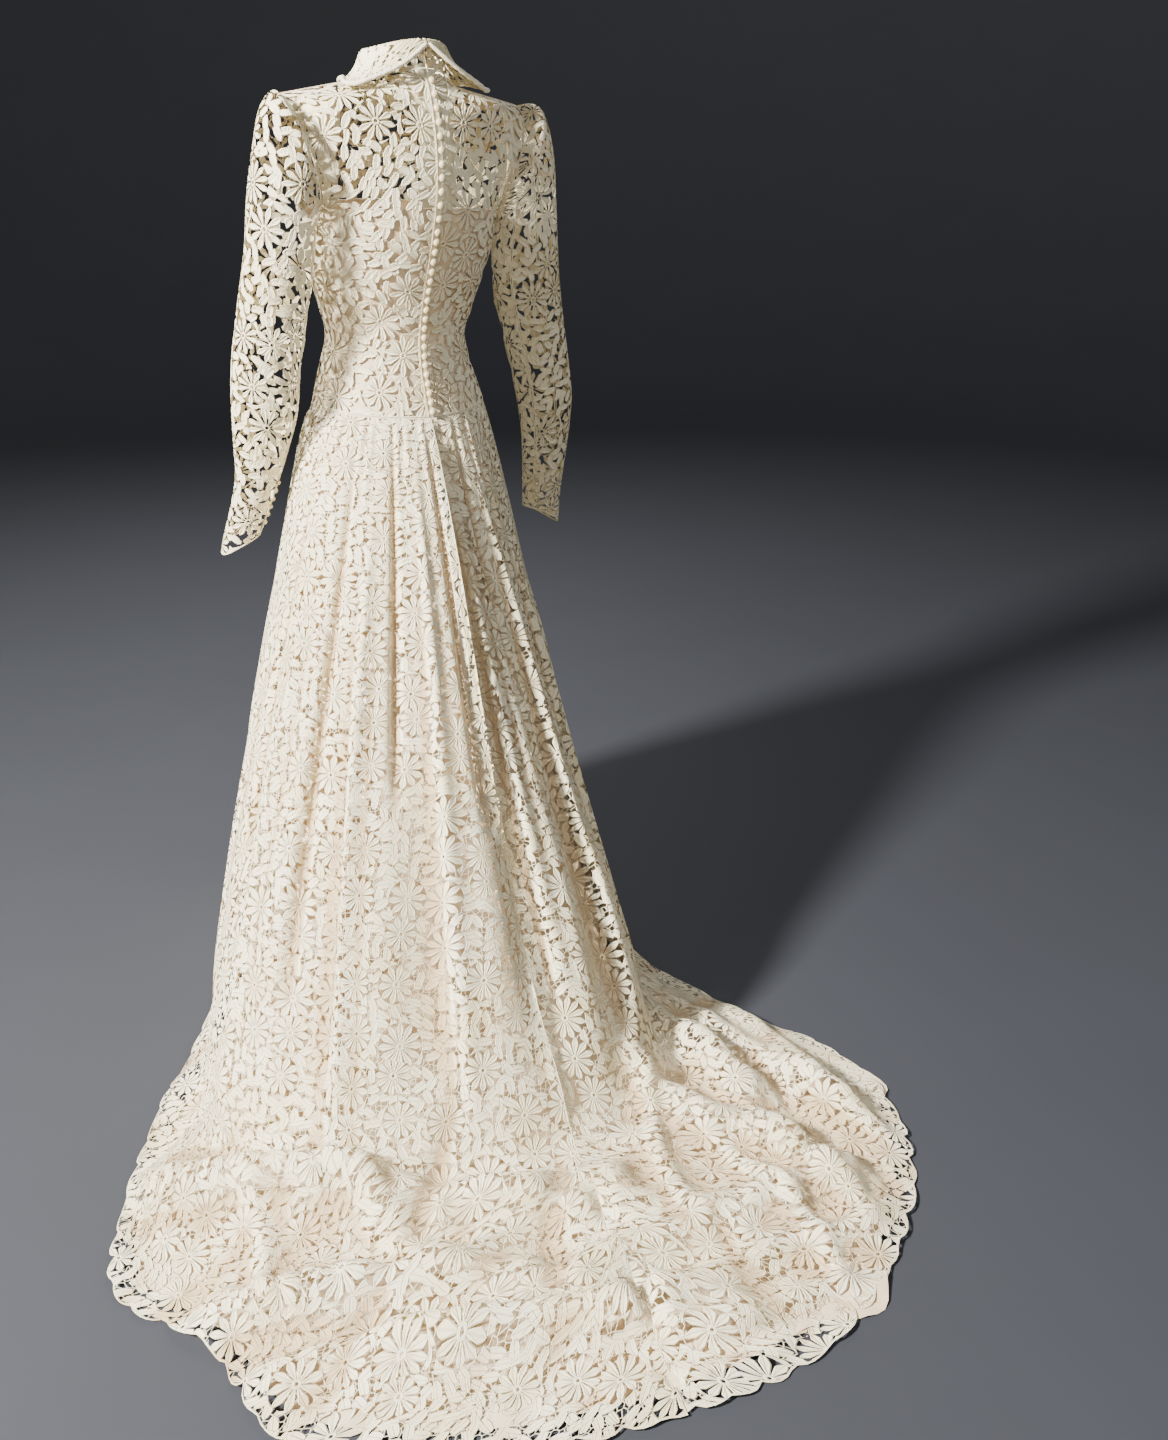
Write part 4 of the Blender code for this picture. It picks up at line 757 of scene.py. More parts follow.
SKIRT_FOLDS = rows_of(Fold, [
    (0.486, 0.02, 0.6, -0.0109, 0.0045), (0.462, 0.05, 0.95, 0.0103, 0.0048),
    (0.433, 0.0, 0.55, -0.0124, 0.004), (0.407, 0.12, 0.98, 0.0103, 0.0052),
    (0.378, 0.04, 0.8, -0.0139, 0.0049), (0.347, 0.2, 1.0, 0.0103, 0.0058),
    (0.315, 0.05, 0.65, -0.0124, 0.0054), (0.281, 0.3, 1.0, 0.0098, 0.0065),
    (0.243, 0.1, 0.85, -0.0124, 0.0067), (0.2, 0.3, 1.0, 0.008, 0.008),
    (0.155, 0.1, 0.75, -0.0101, 0.0078), (0.108, 0.45, 1.0, 0.008, 0.008),
    (0.062, 0.05, 0.6, -0.0093, 0.0076), (0.016, 0.3, 0.95, 0.0071, 0.008),
    (0.97, 0.1, 0.7, -0.0101, 0.0074), (0.925, 0.4, 1.0, 0.008, 0.008),
    (0.88, 0.15, 0.8, -0.0101, 0.0085), (0.835, 0.35, 1.0, 0.0086, 0.0075),
    (0.792, 0.05, 0.65, -0.0116, 0.0069), (0.755, 0.3, 1.0, 0.0098, 0.0065),
    (0.719, 0.1, 0.75, -0.0124, 0.0063), (0.685, 0.3, 1.0, 0.0109, 0.0058),
    (0.653, 0.05, 0.65, -0.0124, 0.0052), (0.622, 0.15, 0.98, 0.0115, 0.0052),
    (0.594, 0.0, 0.7, -0.0139, 0.0045), (0.567, 0.08, 0.92, 0.0109, 0.0046),
    (0.54, 0.02, 0.6, -0.0124, 0.0043), (0.514, 0.04, 0.85, 0.0115, 0.004),
])

# How deep a fold is at the waist, as a share of its depth, and how much it grows to the hem.
FOLD_START = 0.70
FOLD_GROWTH = 1.45

# Rolls and crumples of the train where it lies on the floor, from one place to another.
TrainFold = namedtuple("TrainFold", "x y end_x end_y height width")

TRAIN_FOLDS = rows_of(TrainFold, [
    (0.673, 0.544, 0.493, 0.665, 0.017, 0.024), (0.493, 0.665, 0.446, 0.808, 0.0187, 0.022),
    (0.613, 0.815, 0.39, 0.866, 0.0204, 0.024), (0.71, 0.873, 0.26, 1.034, 0.017, 0.03),
    (0.26, 1.034, -0.111, 1.096, 0.017, 0.026), (-0.058, 0.488, 0.1, 0.953, 0.0204, 0.022),
    (0.002, 0.708, 0.113, 1.011, -0.0096, 0.016), (-0.109, 0.692, -0.083, 1.03, 0.0187, 0.022),
    (-0.234, 0.642, -0.221, 0.971, 0.017, 0.02), (0.235, 0.816, 0.333, 0.965, -0.0096, 0.018),
    (0.735, 0.525, 0.729, 0.791, -0.0072, 0.022), (0.513, 0.937, 0.218, 1.1, 0.0153, 0.018),
    (0.148, 1.129, -0.076, 1.181, 0.0136, 0.016), (0.323, 0.803, 0.156, 0.893, 0.017, 0.018),
    (0.372, 0.724, 0.532, 0.869, -0.0084, 0.016), (0.338, 1.141, 0.158, 1.176, 0.0119, 0.014),
    (-0.17, 0.76, -0.15, 1.04, -0.0084, 0.014), (-0.02, 0.86, 0.01, 1.12, 0.0136, 0.014),
    (0.6, 0.64, 0.64, 0.76, 0.0136, 0.016), (0.18, 0.7, 0.06, 0.78, -0.0072, 0.018),
])

# Cell sizes of the meshes, and the share of the round that one coarse column of a gore covers
LACE_CELL = 0.00156
FRONT_CELL = 0.00220
SKIRT_CELL = 0.0070
SKIRT_HEM_CELL = 0.0042
SKIRT_HEM_LENGTH = 0.045
SATIN_CELL = 0.0100
LINING_CELL = 0.005
FACING_CELL = 0.0030
SKIRT_COLUMN = 0.0042
LINING_COLUMN = 0.0065

# Cloth: loose scraps of lace up to so many triangles are left out, a trough's sides are looked
# for so far away, a cut has at least this share of its flat size, folds fade out so near a
# border, lace and satin lie so high over the floor, and small gathers hang from the waist.
SMALL_ISLAND = 60
HOLLOW_REACH = 0.022
LEAST_SHARE = 0.31
BORDER_FADE = 0.012
SEAM_FADE = 0.02
LACE_OVER_FLOOR = 0.0022
SATIN_OVER_FLOOR = 0.0010
GATHER_DEPTH = 0.0011
GATHER_RUN = 0.16
WAVES_EACH = 3

# Lace: edges of a daisy's heart and of its clear border as shares of their radius, the powers of
# the outlines, how far daisies turn, and the heights of cords, cloth and grooves.
HEART_OUTER = 1.16
HEART_INNER = 0.38
BLOOM_BORDER = 0.93
PETAL_LEAN = 1.05
PETAL_FULLNESS = 0.60
LEAF_LENGTH_POWER = 2.4
LEAF_WIDTH_POWER = 1.6
LEAF_FULLNESS = 0.8
DAISY_TURN = 6.0
CORD_RISE = 0.00060
CLOTH_RISE = 0.00045
GROOVE_DROP = 0.00035

# Sewing
SEAM_BAND = 0.0026
PLACKET_BAND = 0.0065
SCALLOP_PITCH = 0.052
SCALLOP_DEPTH = 0.013
HEM_BAND = 0.0030
PIPING_RADIUS = 0.0031
CORD_RADIUS = 0.0010
CORD_PITCH = 0.0030
LOOP_RADIUS = 0.0010

# Camera and light
CAMERA_PLACE = (1.006, 2.017, -0.150)
CAMERA_PITCH = 21.5
CAMERA_TURN = 146.0
CAMERA_LENS = 32.5

Light = namedtuple("Light", "name place aim size energy color")

LIGHTS = [
    Light("key_light", (3.55, 0.55, 1.4), (0.10, 0.20, -0.60), 0.6, 980.0, (1.0, 0.985, 0.94)),
    Light("front_light", (1.7, 3.6, 1.0), (0.1, 0.3, -0.7), 1.6, 50.0, (1.0, 0.98, 0.95)),
    Light("fill_light", (-3.2, 2.4, 1.0), (0.0, 0.2, -0.6), 2.2, 45.0, (0.92, 0.95, 1.0)),
    Light("far_light", (-1.2, -3.2, 1.8), (0.0, 0.0, -0.5), 2.0, 90.0, (1.0, 1.0, 1.0)),
]
FLOOR_RADIUS = 6.0
SWEEP_RADIUS = 3.0
SWEEP_HEIGHT = 10.0


def mirrored(point, side):
    """A point of the wearer's left half, as it is on a side."""
    return Vector((point.x * side, point.y, point.z))


def lowered(point):
    """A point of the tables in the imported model's frame."""
    return Vector((point.x, point.y, point.z - SHOULDER_HEIGHT))


def sample(surface, count_u, count_v, stance=True):
    """Points of a surface on an even grid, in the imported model's frame."""
    grid = np.empty((count_u, count_v, 3))
    for i in range(count_u):
        for j in range(count_v):
            point = surface(i / (count_u - 1), j / (count_v - 1))
            grid[i, j] = lowered(stand(point) if stance else point)
    return grid


def finer_axis(grid, places):
    """A grid read at places along its first axis, on smooth curves."""
    padded = np.concatenate([2.0 * grid[:1] - grid[1:2], grid, 2.0 * grid[-1:] - grid[-2:-1]])
    low = np.clip(places.astype(int), 0, len(grid) - 2)
    part = (places - low).reshape((-1,) + (1,) * (grid.ndim - 1))
    before, start, end, after = (padded[low + step] for step in range(4))
    return catmull(before, start, end, after, part)


def spaced(length, cell, near_end=None, end_length=0.0):
    """Shares along a length, a cell apart, and closer over its last stretch if asked."""
    if near_end is None:
        return np.linspace(0.0, 1.0, max(int(round(length / cell)), 2) + 1)
    main = np.linspace(0.0, 1.0 - end_length / length, int(round((length - end_length) / cell)) + 1)
    rest = np.linspace(1.0 - end_length / length, 1.0, int(round(end_length / near_end)) + 1)
    return np.concatenate([main, rest[1:]])


def steps(grid, axis):
    """Distances between neighbours along an axis."""
    return np.linalg.norm(np.diff(grid, axis=axis), axis=2)


class Panel:
    """A cloth panel as a fine grid, with its place on the flat cut in metres."""

    def __init__(self, coarse, facing, shares_u, shares_v):
        columns, rows = coarse.shape[:2]
        grid = finer_axis(coarse, shares_u * (columns - 1))
        grid = finer_axis(grid.swapaxes(0, 1), shares_v * (rows - 1)).swapaxes(0, 1)
        self.points = grid
        self.facing = facing
        self.u = np.repeat(shares_u[:, None], len(shares_v), axis=1)
        self.v = np.repeat(shares_v[None, :], len(shares_u), axis=0)
        across = np.concatenate([np.zeros((1, grid.shape[1])),
                                 np.cumsum(steps(grid, 0), axis=0)])
        along = np.concatenate([np.zeros((grid.shape[0], 1)),
                                np.cumsum(steps(grid, 1), axis=1)], axis=1)
        self.from_start = across
        self.from_end = across[-1:] - across
        self.from_top = along
        self.from_hem = along[:, -1:] - along
        self.flat_u = across - across[len(shares_u) // 2]
        self.flat_v = along
        self.normals = self.find_normals()
        self.sizes = (float(across[-1].max()), float(along[:, -1].max()))
        self.area = self.surface_area()
        self.solid = 1.0

    def find_normals(self):
        du = np.gradient(self.points, axis=0)
        dv = np.gradient(self.points, axis=1)
        normal = np.cross(du, dv) * self.facing
        return normal / np.maximum(np.linalg.norm(normal, axis=2, keepdims=True), 1e-12)

    def surface_area(self):
        du = np.diff(self.points, axis=0)[:, :-1]
        dv = np.diff(self.points, axis=1)[:-1]
        return float(np.linalg.norm(np.cross(du, dv), axis=2).sum())

    def push(self, heights):
        """Move the cloth along its normals."""
        self.points = self.points + self.normals * heights[..., None]
        self.normals = self.find_normals()

    def keep_above(self, height):
        """Lift the cloth to a height where it lies lower."""
        self.points[..., 2] = np.maximum(self.points[..., 2], height)
        self.normals = self.find_normals()

    def seam_fade(self):
        """0 on the side seams and 1 a little way in."""
        least = np.minimum(self.from_start, self.from_end)
        return np.clip(least / SEAM_FADE, 0.0, 1.0)

    def hollows(self, reach):
        """How far each point lies behind the middle of its neighbours a reach away, in metres,
        so troughs are positive and ridges negative."""
        count = len(self.points)
        step = float(steps(self.points, 0).mean())
        cells = max(int(round(reach / step)), 1)
        index = np.arange(count)
        before = self.points[np.maximum(index - cells, 0)]
        after = self.points[np.minimum(index + cells, count - 1)]
        behind = (((before + after) / 2.0 - self.points) * self.normals).sum(axis=2)
        inside = (index >= cells) & (index < count - cells)
        return behind * inside[:, None]

    def lay_square(self):
        """Lay the flat cut without shear, where the rows run slanted to the columns: a step
        along a row counts along the cloth's length as far as it runs that way."""
        middle = self.points.shape[1] // 2
        du = np.diff(self.points, axis=0)
        dv = np.gradient(self.points, axis=1)
        dv = (dv[1:] + dv[:-1]) / 2.0
        dv /= np.maximum(np.linalg.norm(dv, axis=2, keepdims=True), 1e-12)
        slant = (du * dv).sum(axis=2)
        level = np.sqrt(np.maximum((du ** 2).sum(axis=2) - slant ** 2, 0.0))
        start = np.zeros((1, self.points.shape[1]))
        across = np.concatenate([start, np.cumsum(level, axis=0)])
        drift = np.concatenate([start, np.cumsum(slant, axis=0)])[:, middle:middle + 1]
        self.flat_u = across - across[len(across) // 2]
        self.flat_v = self.from_top - self.from_top[:, middle:middle + 1] + drift

    def mean_sizes(self):
        return float(self.from_start[-1].mean()), float(self.from_top[:, -1].mean())

    def crease(self, creases):
        """Soft troughs and ridges, each tapered to its ends."""
        width, length = self.mean_sizes()
        total = np.zeros(self.u.shape)
        for row in creases:
            run_u = (row.u2 - row.u1) * width
            run_v = (row.v2 - row.v1) * length
            at_u = (self.u - row.u1) * width
            at_v = (self.v - row.v1) * length
            along = (at_u * run_u + at_v * run_v) / (run_u ** 2 + run_v ** 2)
            near = np.clip(along, 0.0, 1.0)
            gap = np.hypot(at_u - near * run_u, at_v - near * run_v)
            taper = 0.25 + 0.75 * np.sin(np.pi * near)
            total += row.depth * taper * np.exp(-(gap / row.width) ** 2)
        self.push(total * self.border_fade())

    def border_fade(self):
        """0 on the panel's borders and 1 a little way in, so that seams stay together."""
        least = np.minimum(np.minimum(self.from_start, self.from_end),
                           np.minimum(self.from_top, self.from_hem))
        return np.clip(least / BORDER_FADE, 0.0, 1.0)


def ripple(place, waves, seed):
    """Smooth unevenness over a plane: the sum of a few waves in seeded directions."""
    draw = np.random.RandomState(seed)
    total = np.zeros(place[0].shape)
    for length, height in waves:
        for _ in range(WAVES_EACH):
            turn = draw.uniform(0.0, 2.0 * math.pi)
            shift = draw.uniform(0.0, 2.0 * math.pi)
            stretch = draw.uniform(0.8, 1.25)
            phase = (place[0] * math.cos(turn) + place[1] * math.sin(turn)) / (length * stretch)
            total += height / WAVES_EACH * np.sin(2.0 * math.pi * phase + shift)
    return total


def scatter(i, j, salt):
    """A number from 0 to 1 for a cell, the same each time."""
    value = np.sin(i * 127.1 + j * 311.7 + salt * 74.7) * 43758.5453
    return value - np.floor(value)


def nearest_cells(u, v, pitch, jitter, salt):
    """The nearest centre of a jittered honeycomb: the way from it, its own number and how far
    the border to its neighbour is."""
    row_pitch = pitch * 0.866
    row = np.floor(v / row_pitch)
    best = np.full(u.shape, 1e9)
    second = np.full(u.shape, 1e9)
    away_u = np.zeros(u.shape)
    away_v = np.zeros(u.shape)
    number = np.zeros(u.shape)
    for row_step in (-1, 0, 1):
        line = row + row_step
        offset = 0.5 * np.mod(line, 2.0)
        column = np.floor(u / pitch - offset)
        for column_step in (-1, 0, 1):
            cell = column + column_step
            centre_u = (cell + 0.5 + offset + jitter * (scatter(cell, line, salt) - 0.5)) * pitch
            centre_v = (line + 0.5 + jitter * (scatter(cell, line, salt + 1.0) - 0.5)) * row_pitch
            step_u = u - centre_u
            step_v = v - centre_v
            gap = np.hypot(step_u, step_v)
            closer = gap < best
            second = np.where(closer, best, np.minimum(second, gap))
            away_u = np.where(closer, step_u, away_u)
            away_v = np.where(closer, step_v, away_v)
            number = np.where(closer, scatter(cell, line, salt + 2.0), number)
            best = np.minimum(best, gap)
    return away_u, away_v, number, (second - best) / 2.0


def lace_field(u, v, lace, salt):
    """Half the thickness of the nearest thread in metres, negative in a gap, and the relief:
    daisies with a ring heart, leaves among them and a net of bars that joins them."""
    away_u, away_v, number, _ = nearest_cells(u, v, lace.daisy_pitch, 0.42, salt)
    radius = np.hypot(away_u, away_v)
    bloom = number < lace.daisy_share
    size = lace.daisy_reach * (0.80 + 0.26 * scatter(number, 1.0, 9.0))
    petals = lace.petals + np.floor(scatter(number, 2.0, 9.0) * 3.0)
    sector = 2.0 * math.pi / petals
    angle = np.arctan2(away_v, away_u) + number * DAISY_TURN
    off = np.mod(angle, sector) - sector / 2.0
    reach = size * (0.90 + 0.12 * scatter(np.floor(angle / sector), number, 5.0))
    across = np.abs(radius * np.sin(off))
    part = np.clip((radius - lace.ring) / (reach - lace.ring), 0.0, 1.0)
    half = lace.petal_half * np.sin(np.pi * part ** PETAL_LEAN) ** PETAL_FULLNESS
    half = np.minimum(half, lace.petal_crowd * sector * radius)
    petal = half - across - np.maximum(radius - reach, 0.0) - np.maximum(lace.ring - radius, 0.0)
    heart = np.minimum(lace.ring * HEART_OUTER - radius, radius - lace.ring * HEART_INNER)
    daisy = np.where(bloom, np.maximum(petal, heart), -0.01)

    leaf_u, leaf_v, turn, _ = nearest_cells(u, v, lace.leaf_pitch, 0.70, salt + 11.0)
    tilt = turn * math.pi
    long = (leaf_u * np.cos(tilt) + leaf_v * np.sin(tilt)) / lace.leaf_half_length
    short = (leaf_v * np.cos(tilt) - leaf_u * np.sin(tilt)) / lace.leaf_half_width
    leaf = 1.0 - np.abs(long) ** LEAF_LENGTH_POWER - np.abs(short) ** LEAF_WIDTH_POWER
    leaf = leaf * lace.leaf_half_width * LEAF_FULLNESS
    vein = np.abs(short) * lace.leaf_half_width
    border = nearest_cells(u, v, lace.net_pitch, 0.80, salt + 23.0)[3]
    ground = np.maximum(leaf, lace.bar_half - border)
    outside = np.where(bloom, radius - size * BLOOM_BORDER, 0.01)
    field = np.maximum(daisy, np.minimum(ground, outside))
    cord = np.exp(-((field - 0.0009) / 0.00055) ** 2)
    body = np.clip(field / 0.0016, 0.0, 1.0)
    groove = np.exp(-(across / 0.0007) ** 2) * (petal > 0.0008)
    groove += np.exp(-(vein / 0.0006) ** 2) * (leaf > 0.0010) * (outside > 0.0)
    relief = CORD_RISE * cord + CLOTH_RISE * body - GROOVE_DROP * groove
    return field, relief, groove


CASES = {
    1: ["a", "ab", "da"],
    2: ["b", "bc", "ab"],
    3: ["a", "b", "bc", "da"],
    4: ["c", "cd", "bc"],
    5: ["a", "ab", "bc", "c", "cd", "da"],
    6: ["ab", "b", "c", "cd"],
    7: ["a", "b", "c", "cd", "da"],
    8: ["d", "da", "cd"],
    9: ["a", "ab", "cd", "d"],
    10: ["ab", "b", "bc", "cd", "d", "da"],
    11: ["a", "b", "bc", "cd", "d"],
    12: ["da", "bc", "c", "d"],
    13: ["a", "ab", "bc", "c", "d"],
    14: ["ab", "b", "c", "d", "da"],
    15: ["a", "b", "c", "d"],
}


def cut_cloth(values, field):
    """Rows of vertex values and triangles of a grid where field is positive, cut smoothly
    where it changes sign."""
    columns, rows = field.shape
    corner = np.arange(columns * rows).reshape(columns, rows)
    flat = values.reshape(columns * rows, -1)

    def crossing(first, last):
        first_field = field[first]
        last_field = field[last]
        apart = first_field - last_field
        part = np.where(np.abs(apart) > 1e-12, first_field / np.where(apart == 0.0, 1.0, apart), 0.5)
        part = np.clip(part, 0.02, 0.98)[..., None]
        low = values[first]
        return (low + (values[last] - low) * part).reshape(-1, values.shape[2])

    left = (slice(None, -1), slice(None))
    right = (slice(1, None), slice(None))
    below = (slice(None), slice(None, -1))
    above = (slice(None), slice(1, None))
    across = crossing(left, right)
    up = crossing(below, above)
    across_id = corner.size + np.arange(len(across)).reshape(columns - 1, rows)
    up_id = corner.size + len(across) + np.arange(len(up)).reshape(columns, rows - 1)
    names = {
        "a": corner[:-1, :-1], "b": corner[1:, :-1], "c": corner[1:, 1:], "d": corner[:-1, 1:],
        "ab": across_id[:, :-1], "cd": across_id[:, 1:], "da": up_id[:-1], "bc": up_id[1:],
    }
    inside = (field > 0.0).astype(int)
    case = inside[:-1, :-1] + 2 * inside[1:, :-1] + 4 * inside[1:, 1:] + 8 * inside[:-1, 1:]
    triangles = []
    for number, ring in CASES.items():
        here = case == number
        loops = [names[name][here] for name in ring]
        for index in range(1, len(loops) - 1):
            triangles.append(np.stack([loops[0], loops[index], loops[index + 1]], axis=1))
    return np.concatenate([flat, across, up]), np.concatenate(triangles)


def drop_islands(triangles, count):
    """Leave out loose scraps of thread that hang on nothing."""
    label = np.arange(count)
    while True:
        least = label[triangles].min(axis=1)
        before = label.copy()
        np.minimum.at(label, triangles.ravel(), np.repeat(least, 3))
        label = np.minimum(label, label[label])
        if np.array_equal(before, label):
            break
    owner = label[triangles[:, 0]]
    sizes = np.bincount(owner, minlength=count)
    return triangles[sizes[owner] > SMALL_ISLAND]


def placed(name, mesh, material):
    """A smooth mesh with its material, as an object of the scene."""
    mesh.shade_smooth()
    mesh.materials.append(material)
    piece = bpy.data.objects.new(name, mesh)
    bpy.context.scene.collection.objects.link(piece)
    return piece


def mesh_object(name, material, points, faces, flat=None, marks=None):
    """A smooth object from arrays of points and triangles or quads, with its flat cut as UVs
    and its marks, the named values at its points that the material reads."""
    mesh = bpy.data.meshes.new(name)
    size = faces.shape[1]
    mesh.vertices.add(len(points))
    mesh.vertices.foreach_set("co", points.astype(np.float32).ravel())
    mesh.loops.add(faces.size)
    mesh.loops.foreach_set("vertex_index", faces.astype(np.int32).ravel())
    mesh.polygons.add(len(faces))
    mesh.polygons.foreach_set("loop_start", np.arange(0, faces.size, size, dtype=np.int32))
    mesh.update(calc_edges=True)
    if flat is not None:
        layer = mesh.uv_layers.new(name="flat_cut")
        layer.data.foreach_set("uv", flat[faces.ravel()].astype(np.float32).ravel())
    for label, values in (marks or {}).items():
        attribute = mesh.attributes.new(label, "FLOAT", "POINT")
        attribute.data.foreach_set("value", values.astype(np.float32))
    return placed(name, mesh, material)


def seated(piece, slot, *nodes):
    """Every piece rides on the one body, and the imported parts it stands in for are hidden; slot is
    not used.
    """
    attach(piece, BODY)
    if nodes:
        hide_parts(*nodes)


def panel_piece(name, panel, material, field, marks=None, islands=True):
    """The piece cut from a panel where field is positive, with its marks."""
    marks = marks or {}
    layers = [panel.flat_u, panel.flat_v, *marks.values()]
    values = np.concatenate([panel.points] + [layer[..., None] for layer in layers], axis=2)
    rows, triangles = cut_cloth(values, field)
    if islands:
        triangles = drop_islands(triangles, len(rows))
    used, triangles = np.unique(triangles, return_inverse=True)
    triangles = triangles.reshape(-1, 3)
    if panel.facing < 0.0:
        triangles = triangles[:, ::-1]
    rows = rows[used]
    kept_marks = {label: rows[:, index] for index, label in enumerate(marks, 5)}
    return mesh_object(name, material, rows[:, :3], triangles, rows[:, 3:5], kept_marks)


def declare_cut(panel, rests_on=()):
    """Work out what share of its flat size the panel covers, which is not kept. Its area leaves out
    the lace's gaps.
    """
    width, length = panel.sizes
    share = panel.area * panel.solid / (width * length)
    share = min(max(share, LEAST_SHARE), 1.0)


def border_field(panel, sides, ends):
    """Positive on a narrow band along the panel's seams. sides and ends are the bands' widths
    at its first and last column, and at its first and last row."""
    return np.maximum(
        np.maximum(sides[0] - panel.from_start, sides[1] - panel.from_end),
        np.maximum(ends[0] - panel.from_top, ends[1] - panel.from_hem))


def merged(parts):
    """Several lists of vertices and quads as one."""
    points = []
    faces = []
    for part_points, part_faces in parts:
        base = len(points)
        points += part_points
        faces += [tuple(base + index for index in face) for face in part_faces]
    return points, faces


def simple_object(name, material, parts):
    """A smooth object from lists of vertices and faces, joined."""
    points, faces = merged(parts)
    mesh = bpy.data.meshes.new(name)
    mesh.from_pydata([tuple(point) for point in points], [], faces)
    mesh.update()
    return placed(name, mesh, material)


def ring_faces(rings, sides):
    """Quads between rings of points that follow each other, with so many sides each."""
    faces = []
    for ring in range(rings - 1):
        for side in range(sides):
            after = (side + 1) % sides
            base = ring * sides
            faces.append((base + side, base + after, base + sides + after, base + sides + side))
    return faces


def tube(path, radius, sides=6, twist=0.0, lobes=0.0):
    """A round cord along a path, with rounded ends. lobes makes it look twisted."""
    points = []
    count = len(path)
    side = None
    for index, point in enumerate(path):
        ahead = path[min(index + 1, count - 1)] - path[max(index - 1, 0)]
        ahead.normalize()
        if side is None:
            side = ahead.orthogonal().normalized()
        side = (side - ahead * side.dot(ahead)).normalized()
        other = ahead.cross(side)
        end = 0.45 if index in (0, count - 1) else 1.0
        for step in range(sides):
            angle = 2.0 * math.pi * step / sides
            swell = 1.0 + lobes * math.cos(2.0 * angle + twist * index)
            reach = radius * end * swell
            points.append(point + side * math.cos(angle) * reach + other * math.sin(angle) * reach)
    faces = ring_faces(count, sides)
    faces.append(tuple(reversed(range(sides))))
    faces.append(tuple(range((count - 1) * sides, count * sides)))
    return points, faces


def resampled(path, pitch):
    """A path's points a pitch apart."""
    lengths = [0.0]
    for first, last in zip(path, path[1:]):
        lengths.append(lengths[-1] + (last - first).length)
    count = max(int(lengths[-1] / pitch), 1)
    result = []
    low = 0
    for step in range(count + 1):
        target = lengths[-1] * step / count
        while low < len(path) - 2 and lengths[low + 1] < target:
            low += 1
        span = max(lengths[low + 1] - lengths[low], 1e-9)
        result.append(path[low].lerp(path[low + 1], (target - lengths[low]) / span))
    return result


def stitches(path, pitch, length, radius):
    """A row of short stitches along a path."""
    parts = []
    places = resampled(path, pitch)
    for first, last in zip(places, places[1:]):
        way = last - first
        middle = (first + last) / 2.0
        half = way.normalized() * (length / 2.0)
        parts.append(tube([middle - half, middle - half * 0.4, middle + half * 0.4,
                           middle + half], radius, 4))
    return parts


# Materials
LACE_ROUGHNESS = 0.72
LACE_SHEEN = 0.12


class Sum:
    """A value in a material's node tree that can be worked with like a number."""

    def __init__(self, tree, socket):
        self.tree = tree
        self.socket = socket

    def work(self, operation, *others):
        node = self.tree.nodes.new("ShaderNodeMath")
        node.operation = operation
        for index, value in enumerate((self, *others)):
            if isinstance(value, Sum):
                self.tree.links.new(value.socket, node.inputs[index])
            else:
                node.inputs[index].default_value = value
        return Sum(self.tree, node.outputs[0])

    def __add__(self, other):
        return self.work("ADD", other)

    def __sub__(self, other):
        return self.work("SUBTRACT", other)

    def __mul__(self, other):
        return self.work("MULTIPLY", other)

    def __truediv__(self, other):
        return self.work("DIVIDE", other)

    def between(self, low, high):
        """0 below low and 1 above high, smooth between them."""
        node = self.tree.nodes.new("ShaderNodeMapRange")
        node.interpolation_type = "SMOOTHSTEP"
        node.inputs["From Min"].default_value = low
        node.inputs["From Max"].default_value = high
        self.tree.links.new(self.socket, node.inputs["Value"])
        return Sum(self.tree, node.outputs["Result"])


def texture(tree, kind, coordinates, **settings):
    """A texture node fed with coordinates."""
    node = tree.nodes.new("ShaderNodeTex" + kind)
    for name, value in settings.items():
        if name in node.inputs:
            node.inputs[name].default_value = value
        else:
            setattr(node, name, value)
    tree.links.new(coordinates, node.inputs["Vector"])
    return node


def grey(tree, kind, coordinates, **settings):
    """A texture's single value."""
    return Sum(tree, texture(tree, kind, coordinates, **settings).outputs["Fac"])


def split_vector(tree, first, second):
    """The way from second to first as two values."""
    node = tree.nodes.new("ShaderNodeVectorMath")
    node.operation = "SUBTRACT"
    tree.links.new(first, node.inputs[0])
    tree.links.new(second, node.inputs[1])
    parts = tree.nodes.new("ShaderNodeSeparateXYZ")
    tree.links.new(node.outputs[0], parts.inputs[0])
    return Sum(tree, parts.outputs["X"]), Sum(tree, parts.outputs["Y"])


def flat_cut(tree):
    """The cloth's flat cut, in metres."""
    node = tree.nodes.new("ShaderNodeUVMap")
    node.uv_map = "flat_cut"
    return node.outputs["UV"]


def object_place(tree):
    """The place on the piece, in metres."""
    return tree.nodes.new("ShaderNodeTexCoord").outputs["Object"]


def new_material(name, color, roughness, sheen):
    """A material with its shader, its tree and the constants on the shader's own sockets."""
    material = bpy.data.materials.new(name)
    material.use_nodes = True
    tree = material.node_tree
    shader = tree.nodes["Principled BSDF"]
    shader.inputs["Base Color"].default_value = (*color, 1.0)
    shader.inputs["Roughness"].default_value = roughness
    shader.inputs["Sheen Weight"].default_value = sheen
    shader.inputs["Sheen Roughness"].default_value = 0.45
    shader.inputs["IOR"].default_value = 1.45
    return material, tree, shader


def color_mix(tree, factor, low, high):
    """A colour between two others, each a socket or three numbers."""
    node = tree.nodes.new("ShaderNodeMix")
    node.data_type = "RGBA"
    tree.links.new(factor.socket, node.inputs["Factor"])
    colors = [socket for socket in node.inputs if socket.type == "RGBA"]
    for socket, value in zip(colors, (low, high)):
        if isinstance(value, bpy.types.NodeSocket):
            tree.links.new(value, socket)
        else:
            socket.default_value = (*value, 1.0)
    return [socket for socket in node.outputs if socket.type == "RGBA"][0]


